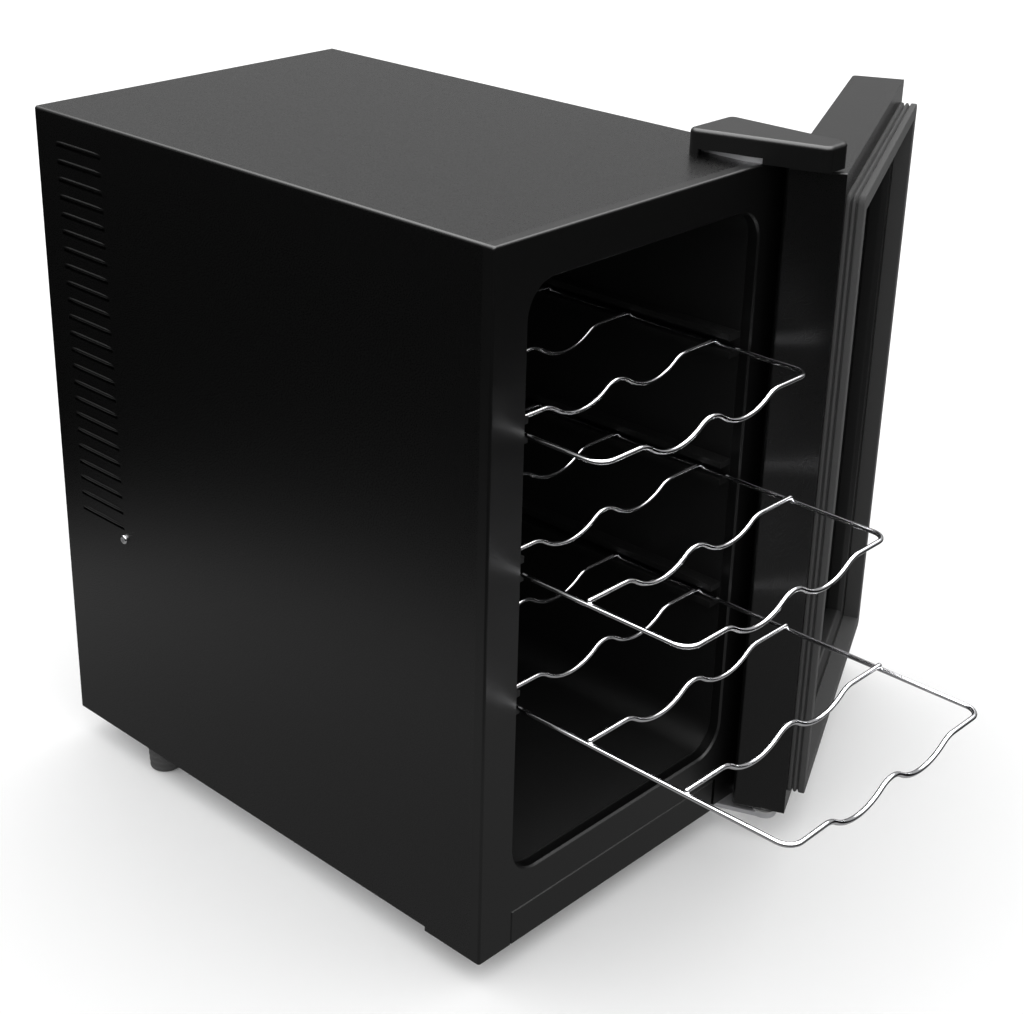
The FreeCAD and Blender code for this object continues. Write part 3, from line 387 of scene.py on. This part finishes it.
@dataclass(frozen=True)
class Finish:
    """Procedural material made from one noise field on Object coordinates.

    Args:
        name: The material's name.
        low: Colour in the field's hollows.
        high: Colour on the field's peaks.
        roughness: Least and greatest roughness.
        relief: How the surface is broken up.
        scale: The relief's cycles for each metre.
        bump: Height of the relief in metres.
        metallic: 1 for bare metal.
        specular: Specular level.
        ior: Index of refraction.
        transmission: Share of light let through.
        anisotropy: Stretch of the highlight.
    """

    name: str
    low: Colour
    high: Colour
    roughness: tuple[float, float]
    relief: Relief
    scale: float
    bump: float
    metallic: float = 0.0
    specular: float = 0.5
    ior: float = 1.5
    transmission: float = 0.0
    anisotropy: float = 0.0

    def _field(self, tree: bpy.types.NodeTree) -> bpy.types.NodeSocket:
        """Builds the relief's field on Object coordinates.

        Args:
            tree: The material's nodes.

        Returns:
            The socket that gives the field.
        """
        place = tree.nodes.new("ShaderNodeTexCoord")
        stretch = tree.nodes.new("ShaderNodeMapping")
        tree.links.new(place.outputs["Object"], stretch.inputs["Vector"])
        if self.relief is Relief.BRUSHED:
            stretch.inputs["Scale"].default_value = BRUSH_STRETCH
        if self.relief is Relief.CELLS:
            cells = tree.nodes.new("ShaderNodeTexVoronoi")
            cells.inputs["Scale"].default_value = self.scale
            tree.links.new(stretch.outputs["Vector"], cells.inputs["Vector"])
            return cells.outputs["Distance"]
        noise = tree.nodes.new("ShaderNodeTexNoise")
        detail = {Relief.PEEL: 2.0, Relief.GRAIN: 6.0, Relief.BRUSHED: 4.0, Relief.POLISHED: 1.0}
        noise.inputs["Scale"].default_value = self.scale
        noise.inputs["Detail"].default_value = detail[self.relief]
        tree.links.new(stretch.outputs["Vector"], noise.inputs["Vector"])
        return noise.outputs["Fac"]

    def material(self) -> bpy.types.Material:
        """Builds the material, or gives back the one already built.

        Returns:
            The material.
        """
        if self.name in bpy.data.materials:
            return bpy.data.materials[self.name]
        made = bpy.data.materials.new(self.name)
        made.use_nodes = True
        tree = made.node_tree
        shader = tree.nodes["Principled BSDF"]
        for socket, value in (
            ("Metallic", self.metallic),
            ("Specular IOR Level", self.specular),
            ("IOR", self.ior),
            ("Transmission Weight", self.transmission),
            ("Anisotropic", self.anisotropy),
        ):
            shader.inputs[socket].default_value = value
        relief = self._field(tree)
        colour = tree.nodes.new("ShaderNodeValToRGB")
        for element, position, shade in zip(
            colour.color_ramp.elements, FIELD_RANGE, (self.low, self.high)
        ):
            element.position, element.color = position, (*shade, 1)
        tree.links.new(relief, colour.inputs["Fac"])
        tree.links.new(colour.outputs["Color"], shader.inputs["Base Color"])
        rough = tree.nodes.new("ShaderNodeMapRange")
        for end, source, target in zip(("Min", "Max"), FIELD_RANGE, self.roughness):
            rough.inputs[f"From {end}"].default_value = source
            rough.inputs[f"To {end}"].default_value = target
        tree.links.new(relief, rough.inputs["Value"])
        tree.links.new(rough.outputs["Result"], shader.inputs["Roughness"])
        bump = tree.nodes.new("ShaderNodeBump")
        bump.inputs["Strength"].default_value = 1.0
        bump.inputs["Distance"].default_value = self.bump
        tree.links.new(relief, bump.inputs["Height"])
        tree.links.new(bump.outputs["Normal"], shader.inputs["Normal"])
        return made


def grey(value: float) -> Colour:
    """Gives the neutral grey of a value.

    Args:
        value: How light it is.

    Returns:
        Its three equal channels.
    """
    return (value, value, value)


FINISHES: dict[str, Finish] = {
    "shell_paint": Finish("black_shell_paint", grey(0.0009), grey(0.0018), (0.24, 0.34),
                          Relief.PEEL, 1500, 0.000004),
    "frame_black": Finish("moulded_black_frame", grey(0.0008), grey(0.0018), (0.28, 0.42),
                          Relief.GRAIN, 2600, 0.00001),
    "liner_black": Finish("black_liner", grey(0.0008), grey(0.0018), (0.45, 0.6),
                          Relief.GRAIN, 1800, 0.00004),
    "foam": Finish("cream_foam", (0.62, 0.54, 0.36), (0.78, 0.7, 0.5), (0.85, 0.95),
                   Relief.CELLS, 900, 0.0003),
    "zinc_sheet": Finish("zinc_sheet", grey(0.42), grey(0.56), (0.3, 0.5),
                         Relief.CELLS, 90, 0.00001, metallic=1),
    "rear_black": Finish("rear_moulding", grey(0.003), grey(0.006), (0.45, 0.6),
                         Relief.GRAIN, 2200, 0.00006),
    "inlet_black": Finish("inlet_moulding", grey(0.006), grey(0.012), (0.35, 0.5),
                          Relief.GRAIN, 3000, 0.00003),
    "brass_contact": Finish("brass_blades", (0.6, 0.42, 0.16), (0.72, 0.54, 0.24), (0.2, 0.35),
                            Relief.BRUSHED, 4000, 0.00001, metallic=1),
    "foot_rubber": Finish("foot_rubber", grey(0.002), grey(0.005), (0.6, 0.8),
                          Relief.GRAIN, 1600, 0.00008, specular=0.3),
    "screw_steel": Finish("screw_steel", grey(0.5), grey(0.66), (0.18, 0.34),
                          Relief.BRUSHED, 3500, 0.00001, metallic=1),
    "hinge_steel": Finish("hinge_steel", grey(0.6), grey(0.74), (0.16, 0.3),
                          Relief.BRUSHED, 2600, 0.00001, metallic=1, anisotropy=0.3),
    "pin_steel": Finish("pin_steel", grey(0.6), grey(0.7), (0.12, 0.22),
                        Relief.POLISHED, 600, 0.000004, metallic=1),
    "cap_black": Finish("hinge_cap_black", grey(0.001), grey(0.0025), (0.3, 0.42),
                        Relief.GRAIN, 2600, 0.000012),
    "door_black": Finish("door_moulding", grey(0.0008), grey(0.0018), (0.24, 0.36),
                         Relief.GRAIN, 2400, 0.000008),
    "door_glass": Finish("dark_door_glass", grey(0.0002), grey(0.0004), (0.02, 0.05),
                         Relief.POLISHED, 9, 0.00002),
    "spacer_aluminium": Finish("spacer_aluminium", grey(0.45), grey(0.6), (0.3, 0.42),
                               Relief.BRUSHED, 2200, 0.00001, metallic=1),
    "retainer_grey": Finish("retainer_moulding", grey(0.003), grey(0.006), (0.34, 0.48),
                            Relief.GRAIN, 2400, 0.00003),
    # Painted sheen: the gasket's rubber is set to mid grey (0.07 to 0.11), far above the other
    # blacks, to stand in for the bright reflection its face catches at a grazing angle.
    "gasket_rubber": Finish("gasket_rubber", grey(0.07), grey(0.11), (0.2, 0.3),
                            Relief.GRAIN, 1500, 0.00004),
    "bush_nylon": Finish("bush_nylon", grey(0.6), grey(0.7), (0.4, 0.5),
                         Relief.GRAIN, 1500, 0.00002),
    "rack_chrome": Finish("rack_chrome", grey(0.72), grey(0.82), (0.05, 0.13),
                          Relief.POLISHED, 260, 0.00002, metallic=1),
    "grille_black": Finish("grille_moulding", grey(0.001), grey(0.003), (0.4, 0.55),
                           Relief.GRAIN, 2200, 0.00004),
    "fan_black": Finish("fan_moulding", grey(0.008), grey(0.016), (0.35, 0.5),
                        Relief.GRAIN, 2600, 0.000012),
    "sink_aluminium": Finish("sink_aluminium", grey(0.55), grey(0.68), (0.3, 0.45),
                             Relief.BRUSHED, 1800, 0.00002, metallic=1),
    "tile_ceramic": Finish("tile_ceramic", grey(0.7), grey(0.82), (0.35, 0.5),
                           Relief.GRAIN, 1200, 0.00002),
    "board_green": Finish("board_lacquer", (0.01, 0.09, 0.03), (0.02, 0.14, 0.05), (0.25, 0.4),
                          Relief.GRAIN, 1400, 0.00003),
    "pod_black": Finish("control_housing", grey(0.001), grey(0.003), (0.32, 0.46),
                        Relief.GRAIN, 2600, 0.00001),
    "display_tint": Finish("display_window", grey(0.001), grey(0.002), (0.04, 0.08),
                           Relief.POLISHED, 30, 0.000005),
    "lens_frost": Finish("lamp_lens", grey(0.6), grey(0.7), (0.4, 0.55),
                         Relief.GRAIN, 1800, 0.00003, transmission=0.4),
    "button_black": Finish("button_moulding", grey(0.01), grey(0.018), (0.35, 0.5),
                           Relief.GRAIN, 3000, 0.00003),
    "sensor_white": Finish("sensor_moulding", grey(0.62), grey(0.72), (0.35, 0.5),
                           Relief.GRAIN, 1800, 0.00002),
}


def dress(obj: bpy.types.Object, slot: str) -> None:
    """Gives an object the finish of a material slot.

    Args:
        obj: The object.
        slot: The slot's name.
    """
    obj.data.materials.clear()
    obj.data.materials.append(FINISHES[slot].material())


def place(obj: bpy.types.Object, body: str, slot: str, *stands_for: str) -> bpy.types.Object:
    """Dresses a new piece, lets it ride on a body and hides the CAD nodes it stands for.

    Args:
        obj: The piece.
        body: The CAD body that it moves with.
        slot: Its material slot.
        stands_for: The CAD nodes that it replaces.

    Returns:
        The piece.
    """
    dress(obj, slot)
    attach(obj, body)
    if stands_for:
        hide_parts(*stands_for)
    return obj


def dress_cad_nodes() -> None:
    """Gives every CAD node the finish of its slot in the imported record."""
    for row in frame["record"]["subparts"]:
        dress(frame["nodes"][row["node"]], row["material_slot"])
    log.info("CAD nodes dressed: %d", len(frame["nodes"]))


# ---------------------------------------------------------------- sub-assemblies
@dataclass
class Cabinet:
    """Louvre lips and feet of the cabinet.

    Args:
        louvres: Slots on each side.
        pitch: Distance between slots.
        top_z: Height of the top slot.
        span: Front and rear ends of a slot.
        lip: How far a lip stands out of the side.
        lip_h: Half a lip's height.
        lip_end: How far a lip's tips reach past the slot.
        slot_h: Height of a slot.
        hood_r: Outer radius of a hood's bend.
        hood_wall: Thickness of a hood.
        hood_over: How far a hood starts above its slot's middle.
        hood_under: How far it hangs below.
        hood_end: How far a hood reaches past the slot's ends.
    """

    louvres: int = 23
    pitch: float = 0.0114
    top_z: float = 0.416
    span: tuple[float, float] = (0.131, 0.177)
    lip: float = 0.0007
    lip_h: float = 0.0011
    lip_end: float = 0.0003
    slot_h: float = 0.0018
    hood_r: float = 0.003
    hood_wall: float = 0.0005
    hood_over: float = 0.0016
    hood_under: float = 0.0042
    hood_end: float = 0.0006

    def louvre_lips(self, side: int) -> Surface:
        """Pressed lip over each slot, thin at its ends.

        x = side (W/2 + lip s cos v) and z = middle + lip_h (1 + 3 s) / 4 sin v, with u going
        from 0 to 1 along the slot and s = sqrt(min(1, 6 u, 6 (1 - u))).

        Args:
            side: 1 for the right-hand side, -1 for the left.

        Returns:
            All the lips of one side.
        """
        along = np.linspace(0, 1, 17)
        y = self.span[0] + (self.span[1] - self.span[0]) * along
        taper = np.minimum(1, 6 * np.minimum(along, 1 - along)) ** 0.5
        v = np.linspace(0, 2 * math.pi, 10, endpoint=False)
        out = self.lip * taper[:, None] * np.cos(v)
        high = self.lip_h * (0.25 + 0.75 * taper[:, None]) * np.sin(v)
        lips = []
        for k in range(self.louvres):
            z = self.top_z - k * self.pitch + self.slot_h / 2 + self.lip_h
            x = side * (HALF_W + out)
            rings = np.stack([x, y[:, None] + 0 * v, z + high], -1)
            tips = [y[0] - self.lip_end, y[-1] + self.lip_end]
            lips.append(tube(rings, np.array([[side * HALF_W, tip, z] for tip in tips])))
        return joined(lips)

    def louvre_hoods(self, side: int) -> Surface:
        """Pressed hood behind each slot: a quarter arc inwards, then straight down.

        The arc is (-R sin v, h + R (cos v - 1)) for v from 0 to a quarter turn, from the
        sheet's inner face above the slot; the wall is the same line moved in by its
        thickness.

        Args:
            side: 1 for the right-hand side, -1 for the left.

        Returns:
            All the hoods of one side.
        """
        v = np.linspace(0, math.pi / 2, 9)
        hoods = []
        for k in range(self.louvres):
            z = self.top_z - k * self.pitch
            loops = []
            for r in (self.hood_r, self.hood_r - self.hood_wall):
                depth = np.r_[r * np.sin(v), r]
                arc = self.hood_over + r * (np.cos(v) - 1) + (r - self.hood_r)
                high = np.r_[arc, -self.hood_under]
                loops.append(np.stack([depth, high], 1))
            loop = np.vstack([loops[0], loops[1][::-1]])
            x = side * (HALF_W - SHEET - loop[:, 0])
            ends = np.array(self.span) + [-self.hood_end, self.hood_end]
            points = np.stack([
                np.tile(x, 2), np.repeat(ends, len(loop)), np.tile(z + loop[:, 1], 2)], 1)
            m, n = len(loop), len(loops[0])
            walls = grid_faces(2, m, False, True)
            j = np.arange(n - 1)
            cap = np.stack([j, j + 1, m - 2 - j, m - 1 - j], 1)
            quads = np.vstack([walls, cap[:, ::-1], cap + m])
            hoods.append(Surface(points, quads).outward())
        return joined(hoods)

    def foot(self, name: str) -> Surface:
        """Ribbed rubber foot turned round its centre.

        Its wall is r = floor_r + (top_r - floor_r) t - rib (1 - cos(2 pi n t)) / 2, with t
        going up from the heel's bend and n the number of grooves.

        Args:
            name: The CAD foot that it stands for.

        Returns:
            A closed surface with a dished sole.
        """
        low, high = (np.array(c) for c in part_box(name))
        centre = tuple((low[:2] + high[:2]) / 2)
        floor_r, top_r, rib, grooves = 0.0110, 0.0120, 0.0004, 4
        bend, lip, cut, axis_r = 0.0020, 0.0004, 0.0006, 0.0001
        bottom, top_z = FLOOR_Z + bend, -lip
        t = np.linspace(0, 1, 41)
        groove = 0.5 - 0.5 * np.cos(2 * math.pi * grooves * t)
        wall_r = floor_r + (top_r - floor_r) * t - rib * groove
        wall = np.stack([wall_r, bottom + (top_z - bottom) * t], 1)
        turn = np.linspace(-math.pi / 2, 0, 7)[:-1]
        heel = np.stack([floor_r + bend * (np.cos(turn) - 1), bottom + bend * np.sin(turn)], 1)
        dish, rim_in, rim_out = FLOOR_Z + 0.0010, 0.0068, 0.0076
        sole = np.array([[axis_r, dish], [rim_in, dish], [rim_out, FLOOR_Z]])
        top = np.array([[top_r - cut, -axis_r], [axis_r, -axis_r]])
        return lathe(np.vstack([sole, heel, wall, top]), centre)

    def build(self) -> None:
        """Builds the lips and the feet."""
        for side, word in ((1, "right"), (-1, "left")):
            place(piece(f"louvre_lips_{word}", self.louvre_lips(side)), "cabinet", "shell_paint")
            place(piece(f"louvre_hoods_{word}", self.louvre_hoods(side)), "cabinet", "shell_paint")
        for name in ("foot_front_left", "foot_front_right", "foot_rear_left", "foot_rear_right"):
            place(piece(f"{name}_ribbed", self.foot(name)), "cabinet", "foot_rubber", name)


@dataclass
class DoorAssembly:
    """Gasket and glazing retainer of the door, drawn closed and swung to where it rests.

    Args:
        inner_y: The door's inner face when closed.
        gasket_y: The gasket's sealing face when closed.
        pane_y: The retainer's outer face when closed, against the glazing.
        seal: Outer edge of the gasket.
        seal_w: Width of the gasket.
        fold: Depth of the gasket's folds.
        clamp: Outer edge of the retainer.
        clamp_w: Width of the retainer.
    """

    inner_y: float = -0.209
    gasket_y: float = -0.198
    pane_y: float = -0.220
    seal: Outline = Outline(0.123, 0.016, 0.421, 0.005)
    seal_w: float = 0.0100
    fold: float = 0.0022
    clamp: Outline = Outline(0.1047, 0.0303, 0.4067, 0.004)
    clamp_w: float = 0.0090

    def gasket(self) -> Surface:
        """Bellows seal: a flat foot, two folds and a flat magnetic face.

        Returns:
            The seal of the closed door.
        """
        y0, y1, fold, width = self.inner_y, self.gasket_y, self.fold, self.seal_w
        loop = rounded_loop([
            (0.0, y0, 0.0004), (0.0, y0 + 0.0020, 0.0005), (fold, y0 + 0.0029, 0.0005),
            (0.0, y0 + 0.0039, 0.0006), (0.0, y0 + 0.0052, 0.0006), (fold, y0 + 0.0062, 0.0005),
            (0.0, y0 + 0.0072, 0.0006), (0.0, y1, 0.0008), (width, y1, 0.0008), (width, y0, 0.0004),
        ])
        return self.seal.swept(loop)

    def retainer(self) -> Surface:
        """Frame that clamps the glazing, with a rounded bevel towards the glass.

        Returns:
            The frame of the closed door.
        """
        y0, y1, width, bevel_w, bevel_h = self.pane_y, self.inner_y, self.clamp_w, 0.0030, 0.0032
        loop = rounded_loop([
            (0.0, y0, 0.0003), (0.0, y1, 0.0005), (width - bevel_w, y1, 0.0009),
            (width, y1 - bevel_h, 0.0009), (width, y0, 0.0003),
        ])
        return self.clamp.swept(loop)

    def build(self) -> None:
        """Builds both pieces."""
        for name, made, slot, node in (
            # The gasket's mid-grey finish carries a painted sheen in place of its grazing
            # reflection.
            ("gasket_bellows", self.gasket(), "gasket_rubber", "door_gasket"),
            ("glazing_retainer", self.retainer(), "retainer_grey", "door_inner_frame"),
        ):
            place(piece(name, made.turned(DOOR_TURN, PIN).outward()), "door", slot, node)


@dataclass
class WireRack:
    """Chromed wire rack: one bent wire for rails and front, wavy bars welded across.

    Args:
        name: The CAD rack's name.
        z: Height of the rails' centreline.
        ahead: How far the front bar stands ahead of the cabinet.
        half_w: Rail centreline from the middle.
        length: Front bar to the rails' rear ends.
        wire_r: Wire radius.
        corner_r: Bend radius of the front corners.
        pitch: Distance between cross bars.
        bars: Cross bars behind the front bar.
        crest_x: Outer crest from the middle.
        crest_r: Crest radius.
        bottle_r: Cradle radius.
        spacing: Distance between the rings of a wire.
        sunk: How deep a cross bar is pressed into the rails.
        weld: Half sizes of a weld bead.
        weld_in: How far a weld's middle stands inside the rail's.
        weld_up: How far it stands above.
        tip_in: Share of the wire's radius by which a cross bar's tip misses the rail's middle.
        front_points: Points along the front bar before they are spaced evenly.
        cross_points: The same along a cross bar.
        bend_points: The same round a front corner.
    """

    name: str
    z: float
    ahead: float
    half_w: float = 0.092
    length: float = 0.272
    wire_r: float = 0.0015
    corner_r: float = 0.009
    pitch: float = 0.0668
    bars: int = 4
    crest_x: float = 0.062
    crest_r: float = 0.016
    bottle_r: float = 0.038
    spacing: float = 0.0016
    sunk: float = 0.0005
    weld: tuple[float, float, float] = (0.0013, 0.0020, 0.0009)
    weld_in: float = 0.0003
    weld_up: float = 0.0013
    tip_in: float = 0.4
    front_points: int = 241
    cross_points: int = 321
    bend_points: int = 24

    def wave(self, x: np.ndarray) -> np.ndarray:
        """Height of a cross bar over its flat ends.

        It follows the crest's arc, sqrt(r^2 - d^2) - r, near a crest at distance d, and the
        cradle's arc, rise - r - sqrt(R^2 - d^2), between the points where the two meet.

        Args:
            x: Places across the rack.

        Returns:
            The heights.
        """
        x = np.abs(x)
        reach, mid = self.crest_r + self.bottle_r, self.crest_x / 2
        rise = math.sqrt(reach**2 - mid**2)
        touch = mid * self.crest_r / reach
        nearest = np.where(x < mid, x, self.crest_x - x)
        crest = np.sqrt(np.maximum(self.crest_r**2 - nearest**2, 0)) - self.crest_r
        aside = np.minimum(np.abs(x - mid), mid)
        cradle = rise - self.crest_r - np.sqrt(self.bottle_r**2 - aside**2)
        return np.where(x >= self.crest_x, 0.0, np.where(nearest <= touch, crest, cradle))

    def build(self) -> None:
        """Builds the rack as one piece and stands it for the CAD rack."""
        front = FRONT_Y - self.ahead
        r, w = self.corner_r, self.half_w
        across = np.linspace(-(w - r), w - r, self.front_points)
        bar = np.stack([across, np.full_like(across, front), self.z + self.wave(across)], 1)
        v = np.linspace(0, math.pi / 2, self.bend_points)[1:]
        bend = np.stack(
            [w - r + r * np.sin(v), front + r - r * np.cos(v), np.full_like(v, self.z)], 1)
        end = front + self.length - self.wire_r
        rail = np.array([[w, end, self.z]])
        half = np.vstack([bend, rail])
        mirrored = (half * [-1, 1, 1])[::-1]
        parts = [wire(resampled(np.vstack([mirrored, bar, half]), self.spacing), self.wire_r)]
        lift = 2 * self.wire_r - self.sunk
        tip = w - self.wire_r * self.tip_in
        across = np.linspace(-tip, tip, self.cross_points)
        for k in range(1, self.bars + 1):
            y = front + k * self.pitch
            path = np.stack([across, np.full_like(across, y), self.z + lift + self.wave(across)], 1)
            parts.append(wire(resampled(path, self.spacing), self.wire_r))
            for side in (-1, 1):
                at = np.array([side * (w - self.weld_in), y, self.z + self.weld_up])
                parts.append(bead(at, self.weld))
        obj = piece(f"{self.name}_wires", joined(parts), smooth_angle=60.0)
        place(obj, f"{self.name}_body", "rack_chrome", self.name)


# ---------------------------------------------------------------- studio
# Metres, but for the sensor's width, which is in millimetres.
Stops = tuple[tuple[float, float], ...]
Span = tuple[float, float, float, float]
SENSOR_W = 36.0
FLOOR_DROP = 0.0002
CARD_DROP = 0.0001
TABLE_SPAN = (-0.95, -0.95, 0.34, 0.95)
GROUND_SPAN = (0.36, -0.38, 3.0, 3.0)
TABLE_SQUASH = (1.0, 0.8, 0.0)


def fill_ramp(ramp: bpy.types.ShaderNodeValToRGB, stops: Stops) -> float:
    """Sets a colour ramp to greys that are shares of the brightest stop.

    Args:
        ramp: The node, with its two stops as first made.
        stops: The place and value of each stop, in order.

    Returns:
        The brightest value.
    """
    elements = ramp.color_ramp.elements
    elements[0].position, elements[1].position = stops[0][0], stops[-1][0]
    for position, _ in stops[1:-1]:
        elements.new(position)
    brightest = max(value for _, value in stops)
    for element, (_, value) in zip(elements, stops):
        element.color = (*grey(value / brightest), 1)
    return brightest


def emitter(name: str, strength: float) -> tuple[bpy.types.Material, bpy.types.Node]:
    """Makes a material that only gives off light.

    Args:
        name: Its name.
        strength: Its strength.

    Returns:
        The material and its emission node.
    """
    glow = bpy.data.materials.new(name)
    glow.use_nodes = True
    tree = glow.node_tree
    tree.nodes.clear()
    emit = tree.nodes.new("ShaderNodeEmission")
    emit.inputs["Strength"].default_value = strength
    out = tree.nodes.new("ShaderNodeOutputMaterial")
    tree.links.new(emit.outputs[0], out.inputs["Surface"])
    return glow, emit


@dataclass
class Studio:
    """Pale floor, soft light and the camera.

    Args:
        at: The camera's place.
        azimuth: The camera's bearing round the cooler, in degrees.
        elevation: How far up it stands, in degrees.
        roll: Its roll in degrees.
        lens: Focal length in millimetres.
        shift: Sideways and upward lens shift.
        daylight: Brightness of the surroundings, as seen and as they light the cooler.
        sky: Brightness of the surroundings in reflections, by the sine of the elevation.
        floor_half: Half the floor's width.
        paleness: Colour of the floor.
        ground: Brightness of the ground beyond the door, in reflections.
        table: Brightness of the table top, in reflections.
        table_fade: Its brightness by distance from the cooler's middle.
    """

    at: tuple[float, float, float] = (-0.77104, -0.79814, 0.72088)
    azimuth: float = -45.7952
    elevation: float = 23.9524
    roll: float = 0.7268
    lens: float = 65.854
    shift: tuple[float, float] = (0.0585, -0.0585)
    daylight: float = 1.35
    sky: Stops = ((0.0, 0.0), (0.2, 0.40), (0.5, 0.42), (0.6, 2.6), (0.8, 7.0))
    floor_half: float = 6.0
    paleness: float = 0.93
    ground: float = 0.35
    table: float = 0.38
    table_fade: Stops = ((0.15, 0.55), (0.25, 0.65), (0.42, 1.0), (0.55, 0.0))

    def camera(self) -> None:
        """Makes the camera: back = (sin a cos e, -cos a cos e, sin e), then rolled."""
        a, e, roll = (math.radians(v) for v in (self.azimuth, self.elevation, self.roll))
        back = Vector((math.sin(a) * math.cos(e), -math.cos(a) * math.cos(e), math.sin(e)))
        level = (-back).cross(Vector((0, 0, 1))).normalized()
        upright = level.cross(-back)
        right = math.cos(roll) * level + math.sin(roll) * upright
        up = -math.sin(roll) * level + math.cos(roll) * upright
        data = bpy.data.cameras.new("camera")
        data.lens, data.sensor_width = self.lens, SENSOR_W
        data.shift_x, data.shift_y = self.shift
        data.clip_start = 0.01
        camera = bpy.data.objects.new("camera", data)
        turn = Matrix((right, up, back)).transposed().to_4x4()
        camera.matrix_world = Matrix.Translation(self.at) @ turn
        bpy.context.scene.collection.objects.link(camera)
        bpy.context.scene.camera = camera

    def world(self) -> None:
        """Even surroundings, but dark at the horizon and bright overhead in reflections."""
        world = bpy.data.worlds.new("studio")
        bpy.context.scene.world = world
        world.use_nodes = True
        tree = world.node_tree
        tree.nodes.clear()
        new, link = tree.nodes.new, tree.links.new
        path, direction = new("ShaderNodeLightPath"), new("ShaderNodeTexCoord")
        split, ramp = new("ShaderNodeSeparateXYZ"), new("ShaderNodeValToRGB")
        seen, lit = new("ShaderNodeBackground"), new("ShaderNodeBackground")
        mixed = new("ShaderNodeMixShader")
        link(direction.outputs["Generated"], split.inputs["Vector"])
        link(split.outputs["Z"], ramp.inputs["Fac"])
        seen.inputs["Color"].default_value = (1, 1, 1, 1)
        seen.inputs["Strength"].default_value = self.daylight
        lit.inputs["Strength"].default_value = fill_ramp(ramp, self.sky)
        link(ramp.outputs["Color"], lit.inputs["Color"])
        link(path.outputs["Is Glossy Ray"], mixed.inputs["Fac"])
        link(seen.outputs[0], mixed.inputs[1])
        link(lit.outputs[0], mixed.inputs[2])
        link(mixed.outputs[0], new("ShaderNodeOutputWorld").inputs["Surface"])

    def _flat(self, name: str, span: Span, z: float) -> bpy.types.Object:
        """Level rectangle.

        Args:
            name: Its name.
            span: Its least x and y, then its greatest.
            z: Its height.

        Returns:
            The object, facing up.
        """
        x0, y0, x1, y1 = span
        points = np.array([[x0, y0, z], [x1, y0, z], [x1, y1, z], [x0, y1, z]])
        return piece(name, Surface(points, np.array([[0, 1, 2, 3]])))

    def _card(self, name: str, span: Span, glow: bpy.types.Material) -> bpy.types.Object:
        """Glowing card on the floor that only shows in reflections.

        Args:
            name: Its name.
            span: Its least x and y, then its greatest.
            glow: Its material.

        Returns:
            The card.
        """
        card = self._flat(name, span, FLOOR_Z - CARD_DROP)
        card.data.materials.append(glow)
        card.visible_camera = card.visible_diffuse = card.visible_shadow = False
        card.visible_transmission = False
        return card

    def _table_glow(self) -> bpy.types.Material:
        """Glow of the table top, set by the distance from the cooler's middle, drawn out along Y.

        Returns:
            The material.
        """
        glow, emit = emitter("table_glow", self.table)
        new, link = glow.node_tree.nodes.new, glow.node_tree.links.new
        where, shape = new("ShaderNodeTexCoord"), new("ShaderNodeMapping")
        reach, ramp = new("ShaderNodeVectorMath"), new("ShaderNodeValToRGB")
        shape.inputs["Scale"].default_value = TABLE_SQUASH
        reach.operation = "LENGTH"
        fill_ramp(ramp, self.table_fade)
        link(where.outputs["Object"], shape.inputs["Vector"])
        link(shape.outputs["Vector"], reach.inputs[0])
        link(reach.outputs["Value"], ramp.inputs["Fac"])
        link(ramp.outputs["Color"], emit.inputs["Color"])
        return glow

    def floor(self) -> None:
        """Pale floor, with cards that show in the cooler's reflections in its stead."""
        half = self.floor_half
        floor = self._flat("floor", (-half, -half, half, half), FLOOR_Z - FLOOR_DROP)
        paint = bpy.data.materials.new("pale_floor")
        paint.use_nodes = True
        shader = paint.node_tree.nodes["Principled BSDF"]
        shader.inputs["Base Color"].default_value = (*grey(self.paleness), 1)
        shader.inputs["Roughness"].default_value = 1.0
        shader.inputs["Specular IOR Level"].default_value = 0.0
        floor.data.materials.append(paint)
        floor.visible_glossy = False
        ground_glow, _ = emitter("ground_glow", self.ground)
        near = self._card("table_card", TABLE_SPAN, self._table_glow())
        far = self._card("ground_card", GROUND_SPAN, ground_glow)

    def build(self) -> None:
        """Builds the floor, the light and the camera."""
        self.floor()
        self.world()
        self.camera()
        bpy.context.scene.view_settings.view_transform = "Standard"


def main() -> None:
    """Builds every sub-assembly."""
    dress_cad_nodes()
    Cabinet().build()
    DoorAssembly().build()
    for name, z, ahead in (
        ("rack_upper", 0.324, 0.0469),
        ("rack_middle", 0.241, 0.1092),
        ("rack_lower", 0.156, 0.1811),
    ):
        WireRack(name, z, ahead).build()
    Studio().build()


if __name__ == "__main__":
    main()
